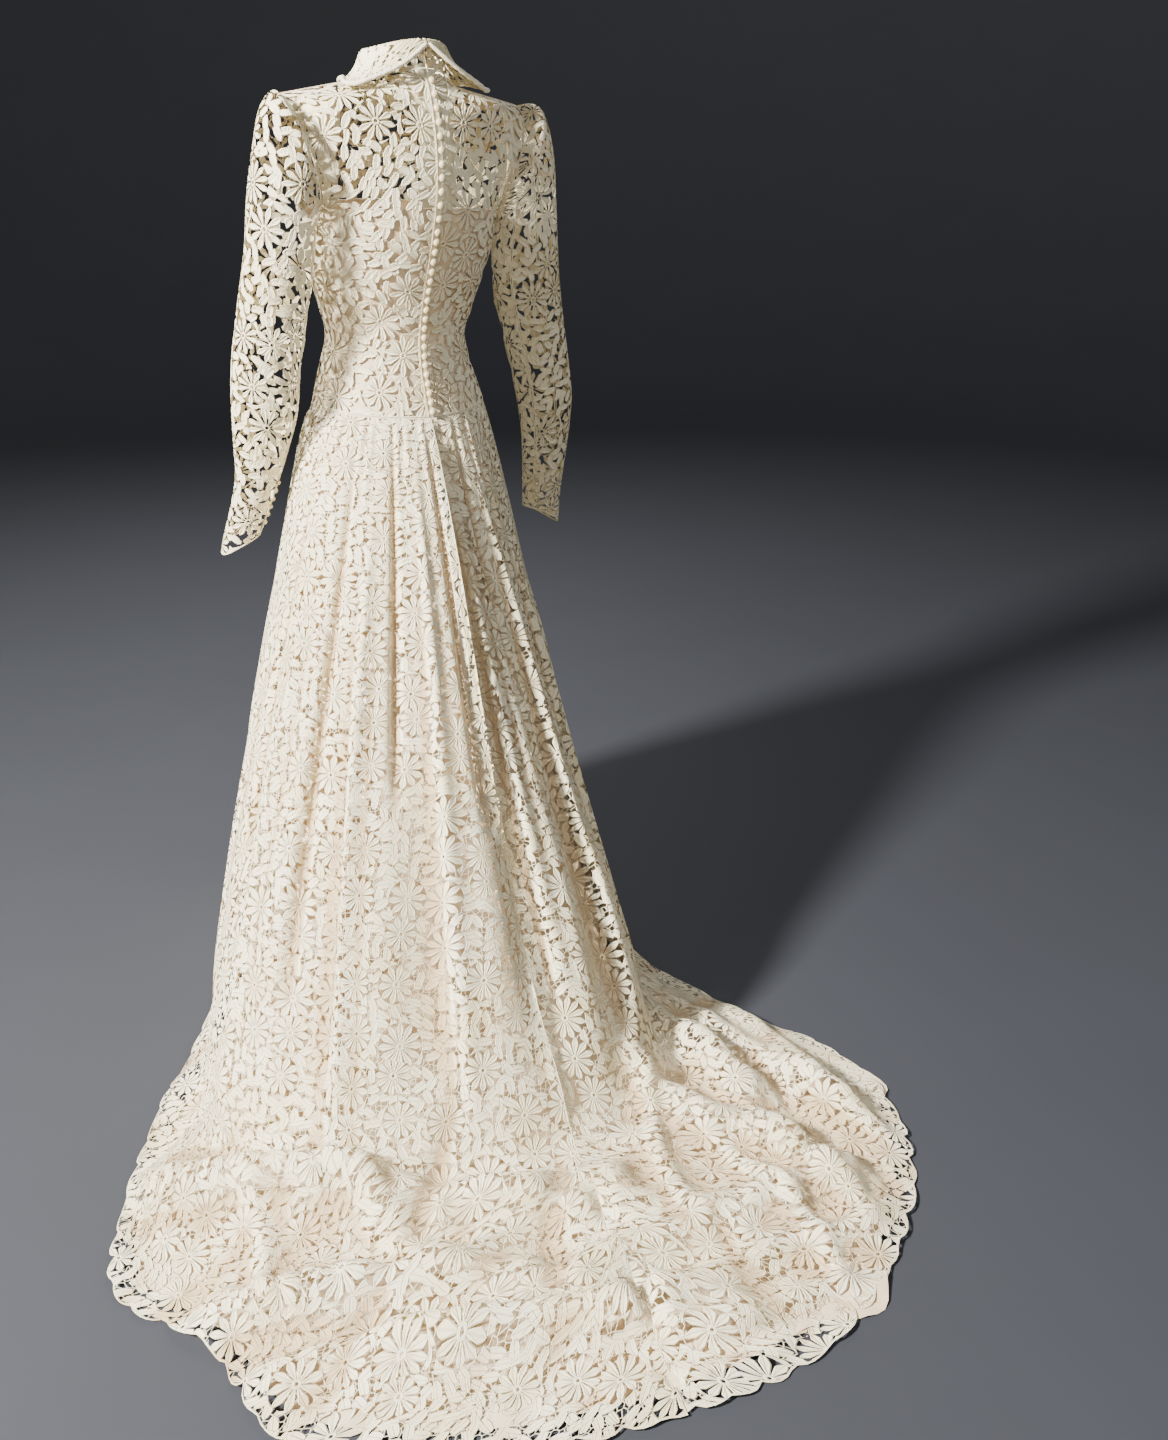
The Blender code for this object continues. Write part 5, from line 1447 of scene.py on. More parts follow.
def bump(tree, shader, height, distance, strength):
    """Raise the surface by height times distance."""
    node = tree.nodes.new("ShaderNodeBump")
    node.inputs["Distance"].default_value = distance
    node.inputs["Strength"].default_value = strength
    tree.links.new(height.socket, node.inputs["Height"])
    tree.links.new(node.outputs["Normal"], shader.inputs["Normal"])


def patchy_color(tree, coordinates, color, shares, scale, low, high, detail=3.0):
    """A colour that is a little deeper in soft patches, by a share for each of its parts."""
    factor = grey(tree, "Noise", coordinates, Scale=scale, Detail=detail).between(low, high)
    deep = [value * share for value, share in zip(color, shares)]
    return color_mix(tree, factor, color, deep)


def paint(tree, shader, color):
    tree.links.new(color, shader.inputs["Base Color"])


def mark(tree, name):
    """A named value at the cloth's points."""
    node = tree.nodes.new("ShaderNodeAttribute")
    node.attribute_name = name
    return Sum(tree, node.outputs["Fac"])


def thread_height(tree, coordinates):
    """Fine twisted threads over the lace, running both ways."""
    waves = texture(tree, "Wave", coordinates, Scale=260.0, Distortion=2.2, Detail=1.0)
    waves.inputs["Detail Scale"].default_value = 1.6
    grain = grey(tree, "Noise", coordinates, Scale=900.0, Detail=2.0)
    return Sum(tree, waves.outputs["Fac"]) * 0.6 + grain * 0.4


def aged_color(tree, coordinates, color):
    """The lace's ivory, a little deeper in soft patches."""
    return patchy_color(tree, coordinates, color, (0.93, 0.88, 0.74), 9.0, 0.35, 0.75)


def cut_lace_material(name, colours):
    """Corded lace whose gaps are cut in the mesh, with raised cords round its motifs."""
    material, tree, shader = new_material(name, colours.lace, LACE_ROUGHNESS, LACE_SHEEN)
    coordinates = flat_cut(tree)
    field = mark(tree, "thread")
    groove = mark(tree, "groove")
    # Painted shade: the lace's colour is pulled towards the shadow colour along the edges of its
    # threads and in the grooves of petals and leaves.
    thread_edge_shade = (field.between(0.0, 0.0008) * -1.0 + 1.0) * 0.40 + groove * 0.35
    aged = aged_color(tree, coordinates, colours.lace)
    paint(tree, shader, color_mix(tree, thread_edge_shade, aged, colours.shadow))
    body = field.between(0.0, 0.0012) - field.between(0.0014, 0.0026) * 0.45 - groove * 0.5
    bump(tree, shader, body + thread_height(tree, coordinates) * 0.25, 0.0012, 1.0)
    return material


def own_numbers(tree, cells):
    """Three numbers that belong to a cell."""
    node = tree.nodes.new("ShaderNodeSeparateColor")
    tree.links.new(cells.outputs["Color"], node.inputs[0])
    return [Sum(tree, socket) for socket in node.outputs]


def lace_shade(tree, coordinates, lace):
    """The same lace for the wide skirt, worked out in its material: half the thickness of the
    nearest thread in metres, and how deep the grooves of petals and leaves are."""
    cells = texture(tree, "Voronoi", coordinates, voronoi_dimensions="2D",
                    Scale=1.0 / (lace.daisy_pitch * 0.94), Randomness=0.50)
    away_u, away_v = split_vector(tree, coordinates, cells.outputs["Position"])
    number, second, third = own_numbers(tree, cells)
    bloom = number.work("LESS_THAN", lace.daisy_share + 0.08)
    radius = (away_u * away_u + away_v * away_v).work("SQRT")
    size = second * (lace.daisy_reach * 0.24) + lace.daisy_reach * 0.78
    petals = (third * 3.0).work("FLOOR") + float(lace.petals)
    sector = petals.work("POWER", -1.0) * (2.0 * math.pi)
    angle = away_v.work("ARCTAN2", away_u) + number * DAISY_TURN + 7.0
    off = angle.work("FLOORED_MODULO", sector) - sector * 0.5
    across = (radius * off.work("SINE")).work("ABSOLUTE")
    part = (radius - lace.ring) / (size * 0.96 - lace.ring)
    part = part.work("MAXIMUM", 0.0).work("MINIMUM", 1.0)
    half = (part.work("POWER", PETAL_LEAN) * math.pi).work("SINE").work("MAXIMUM", 0.0)
    half = half.work("POWER", PETAL_FULLNESS) * lace.petal_half
    half = half.work("MINIMUM", sector * radius * lace.petal_crowd)
    beyond = (radius - size * 0.96).work("MAXIMUM", 0.0)
    before = (radius * -1.0 + lace.ring).work("MAXIMUM", 0.0)
    petal = half - across - beyond - before
    heart = radius * -1.0 + lace.ring * HEART_OUTER
    heart = heart.work("MINIMUM", radius - lace.ring * HEART_INNER)
    daisy = petal.work("MAXIMUM", heart) - (bloom * -1.0 + 1.0) * 0.05

    leaves = texture(tree, "Voronoi", coordinates, voronoi_dimensions="2D",
                     Scale=1.0 / (lace.leaf_pitch * 0.94), Randomness=0.75)
    leaf_u, leaf_v = split_vector(tree, coordinates, leaves.outputs["Position"])
    tilt = own_numbers(tree, leaves)[0] * math.pi
    cosine = tilt.work("COSINE")
    sine = tilt.work("SINE")
    long = ((leaf_u * cosine + leaf_v * sine) / lace.leaf_half_length).work("ABSOLUTE")
    short = ((leaf_v * cosine - leaf_u * sine) / lace.leaf_half_width).work("ABSOLUTE")
    leaf = long.work("POWER", LEAF_LENGTH_POWER) * -1.0 + 1.0
    leaf = leaf - short.work("POWER", LEAF_WIDTH_POWER)
    leaf = leaf * (lace.leaf_half_width * LEAF_FULLNESS)
    borders = texture(tree, "Voronoi", coordinates, voronoi_dimensions="2D",
                      feature="DISTANCE_TO_EDGE", Scale=1.0 / lace.net_pitch, Randomness=0.80)
    bars = Sum(tree, borders.outputs["Distance"]) * -lace.net_pitch + lace.bar_half
    outside = (radius - size * BLOOM_BORDER).work("MAXIMUM", (bloom * -1.0 + 1.0) * 0.05 - 0.02)
    ground = leaf.work("MAXIMUM", bars).work("MINIMUM", outside)
    groove = across.between(0.0012, 0.0) * petal.between(0.0004, 0.0012)
    vein = (short * lace.leaf_half_width).between(0.0010, 0.0) * leaf.between(0.0006, 0.0014)
    groove = groove + vein * outside.between(0.0, 0.001)
    return daisy.work("MAXIMUM", ground), groove


def skirt_lace_material(name, colours, lace):
    """Corded lace for the skirt, seen through between its threads."""
    material, tree, shader = new_material(name, colours.lace, LACE_ROUGHNESS, LACE_SHEEN)
    coordinates = flat_cut(tree)
    field, groove = lace_shade(tree, coordinates, lace)
    band = mark(tree, "edge") * -1.0 + HEM_BAND
    field = field.work("MAXIMUM", band)
    solid = field.between(-0.00025, 0.00025)
    tree.links.new(solid.socket, shader.inputs["Alpha"])
    body = field.between(0.0, 0.0011) - field.between(0.0012, 0.0022) * 0.35 - groove * 0.5
    # Painted shade: the lace is darkened towards the shadow colour in the grooves of petals and
    # leaves, and strongly in the troughs of the skirt's folds.
    trough = mark(tree, "hollow").between(0.0003, 0.0042)
    groove_shaded_color = color_mix(tree, groove * 0.45, aged_color(tree, coordinates, colours.lace),
                             colours.shadow)
    paint(tree, shader, color_mix(tree, trough * 0.85, groove_shaded_color, colours.shadow))
    bump(tree, shader, body + thread_height(tree, coordinates) * 0.30, 0.0013, 1.0)
    return material


def satin_material(name, color):
    """Satin: fine floats of thread, soft unevenness and a calm shine."""
    material, tree, shader = new_material(name, color, 0.34, 0.25)
    coordinates = object_place(tree)
    weft = grey(tree, "Wave", coordinates, Scale=700.0, Distortion=0.6, Detail=1.0)
    slack = grey(tree, "Noise", coordinates, Scale=38.0, Detail=3.0)
    paint(tree, shader, patchy_color(tree, coordinates, color, (0.95, 0.89, 0.80), 7.0, 0.35,
                                     0.70))
    rough = slack * 0.22 + 0.26
    tree.links.new(rough.socket, shader.inputs["Roughness"])
    bump(tree, shader, weft * 0.10 + slack, 0.0016, 0.5)
    return material


def cord_material(name, color):
    """Twisted cord for piping, loops and seam lines."""
    material, tree, shader = new_material(name, color, 0.55, 0.35)
    coordinates = object_place(tree)
    twist = grey(tree, "Wave", coordinates, Scale=180.0, Distortion=3.0, Detail=1.0)
    paint(tree, shader, patchy_color(tree, coordinates, color, (0.86,) * 3, 30.0, 0.3, 0.7))
    bump(tree, shader, twist, 0.0005, 0.7)
    return material


def floor_material(colours):
    """A plain dark floor with a faint unevenness."""
    material, tree, shader = new_material("dark_floor", colours.floor, 0.75, 0.0)
    paint(tree, shader, patchy_color(tree, object_place(tree), colours.floor, (0.96,) * 3, 3.0,
                                     0.3, 0.7, 4.0))
    return material


def kept(name, maker, *settings):
    """A material made once and used again by name."""
    return bpy.data.materials.get(name) or maker(name, *settings)


def lace_finish(scene):
    return kept("ivory_corded_lace", cut_lace_material, scene.gown_colours)


def skirt_finish(scene):
    return kept("ivory_skirt_lace", skirt_lace_material, scene.gown_colours, scene.gown_lace)


def lining_finish(scene):
    return kept("peach_satin", satin_material, scene.gown_colours.satin)


def trim_finish(scene):
    return kept("cream_satin", satin_material, scene.gown_colours.trim)


def padding_finish(scene):
    return kept("pale_padding", satin_material, scene.gown_colours.padding)


def cord_finish(scene):
    # The cord is darker than the lace: partly its own tone, partly painted shade round the buttons
    # and along the seams.
    return kept("golden_cord", cord_material, scene.gown_colours.thread)


def piping_finish(scene):
    return kept("ivory_piping", cord_material, scene.gown_colours.lace)


# Panels
def back_surface(side):
    def surface(u, v):
        point = bodice_point(u, v, BACK)
        return Vector((side * (point.x + SEAM_GAP / 2.0), point.y + SEAM_GAP, point.z))
    return surface


def front_surface(share, v):
    u = 2.0 * share - 1.0
    point = bodice_point(abs(u), v, FRONT)
    return Vector((math.copysign(point.x, u) if abs(u) > 1e-9 else 0.0, point.y, point.z))


def sleeve_surface(side, rows, first):
    def surface(u, v):
        turn = (first + SLEEVE_SEAM_TRIM + (180.0 - 2.0 * SLEEVE_SEAM_TRIM) * u) % 360.0
        return mirrored(sleeve_point(rows, turn, v), side)
    return surface


def collar_surface(side):
    def surface(u, v):
        return mirrored(collar_point(COLLAR_END + (1.0 - 2.0 * COLLAR_END) * u, v), side)
    return surface


def cloth_panel(surface, facing, cell, coarse=(25, 40), stance=True, hem_cell=None,
                hem_length=0.0):
    """A fine panel over a surface, its cells about one size."""
    grid = sample(surface, *coarse, stance)
    shares = np.linspace(0.0, 1.0, 60)
    rough = Panel(grid, facing, shares, shares)
    width = rough.from_start[-1].mean() * 0.5 + rough.from_start[-1].max() * 0.5
    length = rough.from_top[:, -1].mean()
    return Panel(grid, facing, spaced(width, cell), spaced(length, cell, hem_cell, hem_length))


def lace_panel_piece(name, node, panel, scene, salt, sides, ends, spare=-0.0004):
    """Cut lace over a panel, whole along its seams."""
    field, relief, groove = lace_field(panel.flat_u, panel.flat_v, scene.gown_lace, salt)
    band = border_field(panel, sides, ends)
    field = np.maximum(field + spare, band)
    relief = np.where(band > 0.0, np.maximum(relief, 0.0006), relief)
    panel.solid = float((field > 0.0).mean())
    panel.push(relief)
    piece = panel_piece(name, panel, lace_finish(scene), field,
                        {"thread": field, "groove": groove.astype(float)})
    seated(piece, "lace", node)
    return piece


def satin_panel_piece(name, node, panel, material, slot, rests_on):
    """A whole panel of satin, in place of its imported part."""
    piece = panel_piece(name, panel, material, np.ones(panel.u.shape), None, False)
    seated(piece, slot, node)
    declare_cut(panel, rests_on)


def build_bodice(scene):
    """The bodice's lace front and its two lace backs."""
    seam = SEAM_BAND
    for side, label in SIDES:
        panel = cloth_panel(back_surface(side), -side, LACE_CELL)
        panel.crease(BODICE_CREASES["back_" + label])
        piece = lace_panel_piece("lace_back_" + label, "bodice_back_" + label, panel, scene,
                                 3.0 + side, (PLACKET_BAND, seam), (seam, seam))
        declare_cut(panel, ["lining_back_" + label])
    panel = cloth_panel(front_surface, 1.0, FRONT_CELL, (37, 40))
    panel.crease(BODICE_CREASES["front"])
    piece = lace_panel_piece("lace_front", "bodice_front", panel, scene, 7.0, (seam, seam),
                             (seam, seam))
    declare_cut(panel, ["lining_front"])


def build_sleeves(scene):
    """Two-piece sleeves of unlined lace, with a point over the hand."""
    seam = SEAM_BAND
    for side, label, rows in SLEEVES:
        for cut, first in (("top", SLEEVE_SEAM_TURN), ("under", SLEEVE_SEAM_TURN + 180.0)):
            panel = cloth_panel(sleeve_surface(side, rows, first), side, LACE_CELL, (17, 45))
            panel.lay_square()
            panel.crease(SLEEVE_CREASES["%s_%s" % (label, cut)])
            salt = 20.0 + 3.0 * side + (1.0 if cut == "top" else 0.0)
            name = "sleeve_%s_%s" % (label, cut)
            piece = lace_panel_piece("lace_" + name, name, panel, scene, salt, (seam, seam),
                                     (seam, 0.0034), -0.0007)
            declare_cut(panel, ["lace_back_" + label])


def build_collar(scene):
    """Both halves of the turned-down collar, with a rolled edge."""
    for side, label in SIDES:
        surface = collar_surface(side)
        panel = cloth_panel(surface, side, LACE_CELL, (37, 29))
        piece = lace_panel_piece("lace_collar_" + label, "collar_" + label, panel, scene,
                                 40.0 + side, (0.004, 0.004), (0.004, 0.004), 0.0005)
        declare_cut(panel, ["lace_back_" + label])
        path = [surface(u, 1.0) for u in np.linspace(0.0, 1.0, 90)]
        path += [surface(1.0, v) for v in np.linspace(0.97, 0.55, 12)]
        path = [lowered(stand(point)) for point in resampled(path, 0.0022)]
        piping = tube(path, PIPING_RADIUS, 10, 0.9, 0.07)
        seated(simple_object("collar_piping_" + label, piping_finish(scene), [piping]), "trim")


def build_bodice_lining(scene):
    """The strapless satin lining under the lace."""
    near = -(LACE + LINING_GAP)

    def level_to(table, share, v):
        place = min(abs(share), 1.0) * (len(table) - 1)
        low = min(int(place), len(table) - 2)
        return v * (table[low] + (table[low + 1] - table[low]) * (place - low))

    tops = {face: [lining_level(face, index / 20.0) for index in range(21)]
            for face in (BACK, FRONT)}
    edges = []
    for side, label in SIDES:
        def back(u, v, side=side):
            return back_surface(side)(u, level_to(tops[BACK], u, v))
        panel = cloth_panel(back, -side, LINING_CELL, (17, 24))
        panel.push(np.full(panel.u.shape, near) + ripple(
            (panel.flat_u, panel.flat_v), [(0.07, 0.0006)], 5) * panel.border_fade())
        satin_panel_piece("satin_back_" + label, "lining_back_" + label, panel,
                          lining_finish(scene), "satin", ["lace_back_" + label])
        edges.append(panel.points[:, -1])

    def front(share, v):
        u = 2.0 * share - 1.0
        return front_surface(share, level_to(tops[FRONT], u, v))
    panel = cloth_panel(front, 1.0, LINING_CELL, (37, 24))
    panel.push(np.full(panel.u.shape, near))
    satin_panel_piece("satin_front", "lining_front", panel, lining_finish(scene), "satin",
                      ["lace_front"])
    edges.append(panel.points[:, -1])
    cords = [tube([Vector(point) for point in edge[::2]], 0.0009) for edge in edges]
    seated(simple_object("lining_top_edge", padding_finish(scene), cords), "satin")


def build_facings(scene):
    """Opaque strips behind the buttons, with a row of stitches."""
    near = -(LACE + LINING_GAP * 0.6)
    low = lining_level(BACK, 0.0) + 0.004
    rows = []
    for side, label in SIDES:
        def surface(u, v, side=side):
            width = FACING_WIDTH + FACING_SPREAD * smooth_step((v - 0.6) / 0.4)
            return back_surface(side)(width * u, low + (FACING_TOP - low) * v)
        panel = cloth_panel(surface, -side, FACING_CELL, (9, 24))
        waves = ripple((panel.flat_u, panel.flat_v), [(0.03, 0.0005)], 8)
        panel.push(np.full(panel.u.shape, near) + np.minimum(waves, 0.0))
        satin_panel_piece("placket_facing_" + label, "facing_" + label, panel,
                          padding_finish(scene), "trim", ["lace_back_" + label])
        lift = panel.normals[-2] * 0.0004
        rows += stitches([Vector(point) for point in panel.points[-2] + lift], 0.0040, 0.0026,
                         0.00030)
    seated(simple_object("facing_stitches", cord_finish(scene), rows), "trim")


def build_pads(scene):
    """Padded crescents inside the back armhole seams, gathered into small wrinkles."""
    near = -(LACE + PAD_GAP)
    low = UNDERARM_LEVEL + PAD_START
    for side, label in SIDES:
        def surface(u, v, side=side):
            width = PAD_WIDTH * smooth_step(v * 1.15) + 0.02
            share = PAD_EDGE - width * (1.0 - u)
            return back_surface(side)(share, low + (FACING_TOP - low) * v)
        panel = cloth_panel(surface, -side, FACING_CELL, (9, 24))
        wrinkles = 0.0007 * np.sin(panel.flat_v * 2.0 * math.pi / 0.0105
                                   + 3.0 * np.sin(panel.flat_u * 60.0))
        wrinkles += ripple((panel.flat_u, panel.flat_v), [(0.02, 0.0006)], 12)
        outer = panel.points + panel.normals * (near - 0.0009 + np.minimum(wrinkles, 0.0008)
                                                )[..., None]
        depth = PAD_LEAST + PAD_DEPTH * np.sin(np.pi * (0.15 + 0.7 * panel.u)) * panel.v ** 0.5
        inner = panel.points + panel.normals * (near - 0.0012 - depth)[..., None]
        columns, rows = panel.u.shape
        points = np.concatenate([outer.reshape(-1, 3), inner.reshape(-1, 3)])
        index = np.arange(columns * rows).reshape(columns, rows)
        quads = np.stack([index[:-1, :-1], index[1:, :-1], index[1:, 1:], index[:-1, 1:]],
                         axis=2).reshape(-1, 4)
        border = np.concatenate([index[:-1, 0], index[-1, :-1], index[:0:-1, -1],
                                 index[0, :0:-1]])
        after = np.roll(border, -1)
        count = columns * rows
        walls = np.stack([after, border, border + count, after + count], axis=1)
        faces = np.concatenate([quads, quads[:, ::-1] + count, walls])
        if side > 0.0:
            faces = faces[:, ::-1]
        piece = mesh_object("padded_crescent_" + label, padding_finish(scene), points, faces)
        seated(piece, "trim", "shoulder_pad_" + label)


def skirt_run(panel, piece):
    """The share of the round and of the fall at each point of a gore."""
    share = piece.start + (piece.end - piece.start) * panel.u
    falls = np.array([fall_share(float(value)) for value in share[:, 0]])
    return share, panel.v / falls[:, None]


def skirt_folds(share, run):
    """Finer folds between the flutes, and small gathers under the waist seam."""
    total = np.zeros(share.shape)
    for fold in SKIRT_FOLDS:
        away = np.mod(share - fold.share + 0.5, 1.0) - 0.5
        middle = (fold.from_run + fold.to_run) / 2.0
        half = (fold.to_run - fold.from_run) / 2.0
        taper = np.clip(1.0 - np.abs((run - middle) / half) ** 3, 0.0, 1.0)
        deeper = FOLD_START + FOLD_GROWTH * run
        total += fold.depth * deeper * taper * np.exp(-(away / fold.width) ** 2)
    gathers = np.sin(share * 2.0 * math.pi * 46.0 + 2.0 * np.sin(share * 31.0))
    gathers += 0.6 * np.sin(share * 2.0 * math.pi * 71.0 + 1.3)
    total += (GATHER_DEPTH * gathers * np.clip(run / 0.02, 0.0, 1.0)
              * np.exp(-(run / GATHER_RUN) ** 2))
    return total


def train_folds(x, y):
    """Rolls and crumples of the cloth on the floor, on slightly bent lines."""
    total = np.zeros(x.shape)
    bent_x = x + 0.010 * np.sin(y * 19.0 + 1.0)
    bent_y = y + 0.010 * np.sin(x * 23.0)
    for fold in TRAIN_FOLDS:
        way_x = fold.end_x - fold.x
        way_y = fold.end_y - fold.y
        length = math.hypot(way_x, way_y)
        along = ((bent_x - fold.x) * way_x + (bent_y - fold.y) * way_y) / length
        across = ((bent_x - fold.x) * way_y - (bent_y - fold.y) * way_x) / length
        past = np.maximum(np.maximum(-along, along - length), 0.0)
        total += fold.height * np.exp(-(across / fold.width) ** 2 - (past / 0.05) ** 2)
    return total


def build_skirt(scene):
    """Lace gores from the dropped waist to the scalloped hem of the train."""
    for number, piece in enumerate(SKIRT_PIECES):
        surface = gore_surface(piece, skirt_point, lambda share: 1.0)
        columns = int((piece.end - piece.start) / SKIRT_COLUMN) + 2
        panel = cloth_panel(surface, -1.0, SKIRT_CELL, (columns, 48), False, SKIRT_HEM_CELL,
                            SKIRT_HEM_LENGTH)
        share, run = skirt_run(panel, piece)
        fade = panel.seam_fade() * np.clip(panel.from_top / 0.01, 0.0, 1.0)
        place = (panel.points[..., 0], panel.points[..., 1])
        on_floor = np.clip((run - 0.75) / 0.3, 0.0, 1.0)
        falling = np.clip(1.0 - on_floor, 0.0, 1.0) * np.clip(run / 0.1, 0.0, 1.0)
        heights = skirt_folds(share, run) * fade
        heights += ripple((share * 2.2, panel.v * 1.1), [(0.30, 0.0016)], 21) * falling
        heights += ripple(place, [(0.16, 0.0042), (0.07, 0.0022)], 22) * on_floor
        lying = np.clip((panel.normals[..., 2] - 0.35) / 0.35, 0.0, 1.0)
        heights += train_folds(*place) * lying * np.clip(panel.from_hem / 0.05, 0.2, 1.0) * fade
        panel.push(heights)
        panel.keep_above(FLOOR + LACE_OVER_FLOOR)
        # How deep each point lies in a fold's trough; the lace's material reads it to paint shade
        # into the folds.
        hollow = panel.hollows(HOLLOW_REACH)
        hem_along = panel.flat_u[:, -1:]
        wave = np.abs(np.sin(math.pi * (hem_along / SCALLOP_PITCH
                                        + 0.18 * np.sin(hem_along * 23.0))))
        depth = SCALLOP_DEPTH * (0.8 + 0.35 * np.sin(hem_along * 41.0 + number))
        scallop = depth * (1.0 - wave ** 0.6)
        field = panel.from_hem - scallop
        edge = np.minimum(field, np.minimum(panel.from_start, panel.from_end) + 0.0016)
        edge = np.minimum(edge, panel.from_top)
        cloth = panel_piece("lace_skirt_" + piece.name, panel, skirt_finish(scene),
                            field + 1e-6, {"edge": edge, "hollow": hollow}, False)
        seated(cloth, "lace", "skirt_" + piece.name)
        declare_cut(panel, ["satin_skirt_front", "satin_skirt_back"])


def build_skirt_lining(scene):
    """Satin gores inside the lace, with soft folds where they lie on the floor."""
    for piece in LINING_PIECES:
        surface = gore_surface(piece, lining_point, lining_hem)
        columns = int((piece.end - piece.start) / LINING_COLUMN) + 2
        panel = cloth_panel(surface, -1.0, SATIN_CELL, (columns, 40), False)
        share, run = skirt_run(panel, piece)
        fade = panel.seam_fade()
        on_floor = np.clip((run - 0.80) / 0.3, 0.0, 1.0)
        heights = skirt_folds(share, run) * fade
        heights += train_folds(panel.points[..., 0], panel.points[..., 1]) * on_floor * fade
        heights = np.where(heights < 0.0, heights, heights * 0.5) - 0.0012 * fade
        panel.push(heights)
        shown = np.exp(-(panel.from_hem / 0.05) ** 2) * on_floor
        panel.points[..., 2] += shown * 0.0016 * (1.0 + np.sin(panel.flat_u * 2.0 * math.pi / 0.043))
        panel.keep_above(FLOOR + SATIN_OVER_FLOOR)
        satin_panel_piece("satin_skirt_" + piece.name, "lining_skirt_" + piece.name, panel,
                          lining_finish(scene), "satin", ["lining_front"])


def covered_button(place, normal, width, height, turn):
    """A covered button: a dome of satin drawn over a flat mould, with a slight gather."""
    sides = 16
    profile = [(0.36, 0.00), (0.49, 0.16), (0.50, 0.34), (0.45, 0.60), (0.33, 0.84), (0.17, 0.96)]
    frame_turn = normal.to_track_quat("Z", "Y").to_matrix()
    points = []
    for ring, (reach, rise) in enumerate(profile):
        for side in range(sides):
            angle = 2.0 * math.pi * side / sides + turn
            gather = 1.0 + (0.035 * math.cos(5.0 * angle + turn) if ring < 3 else 0.0)
            point = Vector((math.cos(angle) * reach * width * gather,
                            math.sin(angle) * reach * width * gather, rise * height))
            points.append(place + frame_turn @ point)
    points.append(place + normal * height)
    points.append(place)
    top = len(points) - 2
    faces = ring_faces(len(profile), sides)
    last = (len(profile) - 1) * sides
    for side in range(sides):
        after = (side + 1) % sides
        faces.append((last + side, last + after, top))
        faces.append((after, side, top + 1))
    return points, faces


def loop_of(place, normal, along, width, side):
    """A cord loop round a button, from the placket's edge."""
    across = normal.cross(along).normalized() * side
    path = []
    for step in range(11):
        angle = math.pi * (step / 10.0)
        reach = width * 0.58
        path.append(place + normal * 0.0013 + across * (math.sin(angle) * reach - width * 0.10)
                    + along * math.cos(angle) * reach * 0.72)
    return tube(path, LOOP_RADIUS, 6)


def build_back_buttons(scene):
    """The row of covered buttons from the collar to the dropped waist, with their loops."""
    buttons = []
    loops = []
    nodes = []
    for index in range(BUTTON_COUNT):
        point, normal = back_place(button_height(index), BUTTON_SIDE_STEP)
        point = lowered(stand(point)) + normal * 0.0004
        along = Vector((0.0, -normal.z, normal.y))
        buttons.append(covered_button(point, normal, BUTTON_WIDTH, BUTTON_HEIGHT * 0.98,
                                      index * 1.7))
        loops.append(loop_of(point, normal, along, BUTTON_WIDTH, 1.0))
        nodes.append("button_%02d" % (index + 1))
    seated(simple_object("covered_buttons", trim_finish(scene), buttons), "trim", *nodes)
    seated(simple_object("button_loops", cord_finish(scene), loops), "trim")


def build_cuff_buttons(scene):
    """Small covered buttons up each cuff's seam, on a corded edge."""
    for side, label, rows in SLEEVES:
        def surface(u, v, rows=rows, side=side):
            turn = SLEEVE_SEAM_TURN + CUFF_BUTTON_TURN + CUFF_BUTTON_SPREAD * (u - 0.5)
            point = sleeve_point(rows, turn, CUFF_BUTTONS_START + CUFF_BUTTONS_RUN * v)
            return lowered(stand(mirrored(point, side)))
        parts = []
        loops = []
        for index in range(CUFF_BUTTON_COUNT):
            v = (index + 0.5) / CUFF_BUTTON_COUNT
            normal = surface_normal(surface, 0.5, v, side)
            along = (surface(0.5, min(v + 0.02, 1.0)) - surface(0.5, v - 0.02)).normalized()
            place = surface(0.5, v) + normal * 0.0010
            parts.append(covered_button(place, normal, CUFF_BUTTON_WIDTH, CUFF_BUTTON_HEIGHT,
                                        index * 1.3))
            loops.append(loop_of(place, normal, along, CUFF_BUTTON_WIDTH, -side))
        seated(simple_object("cuff_covered_buttons_" + label, trim_finish(scene), parts),
               "trim", "cuff_buttons_" + label)
        seated(simple_object("cuff_loops_" + label, cord_finish(scene), loops), "trim")


def build_seams(scene):
    """Raised cords along the armholes, the shoulder seams, the dropped waist and the edge of
    the button closing."""
    cords = []
    for side in (LEFT, RIGHT):
        ring = []
        for turn in np.linspace(0.0, 360.0, 73):
            ring.append(lowered(stand(mirrored(armhole_seam(float(turn)), side))))
        cords.append(tube(resampled(ring, CORD_PITCH), CORD_RADIUS * 1.25, 6, 1.1, 0.08))
        shoulder = [lowered(stand(Vector((side * p.x, p.y, p.z + 0.0006)))) for p in
                    (top_point(float(u), BACK) for u in np.linspace(NECK_SHARE, 1.0, 12))]
        cords.append(tube(resampled(shoulder, CORD_PITCH), CORD_RADIUS * 0.8, 6))
    waist = [lowered(hip_point(float(share) % 1.0)) for share in np.linspace(0.0, 1.0, 161)]
    cords.append(tube(resampled(waist, 0.0034), CORD_RADIUS * 0.9, 6, 1.1, 0.10))
    closing = []
    for level in np.linspace(0.0, 0.995, 80):
        point = bodice_point(0.0, float(level), BACK)
        closing.append(lowered(stand(Vector((BUTTON_SIDE_STEP + 0.0075, point.y + 0.0010,
                                             point.z)))))
    cords.append(tube(resampled(closing, CORD_PITCH), CORD_RADIUS * 0.8, 6))
    seated(simple_object("seam_cords", cord_finish(scene), cords), "trim")


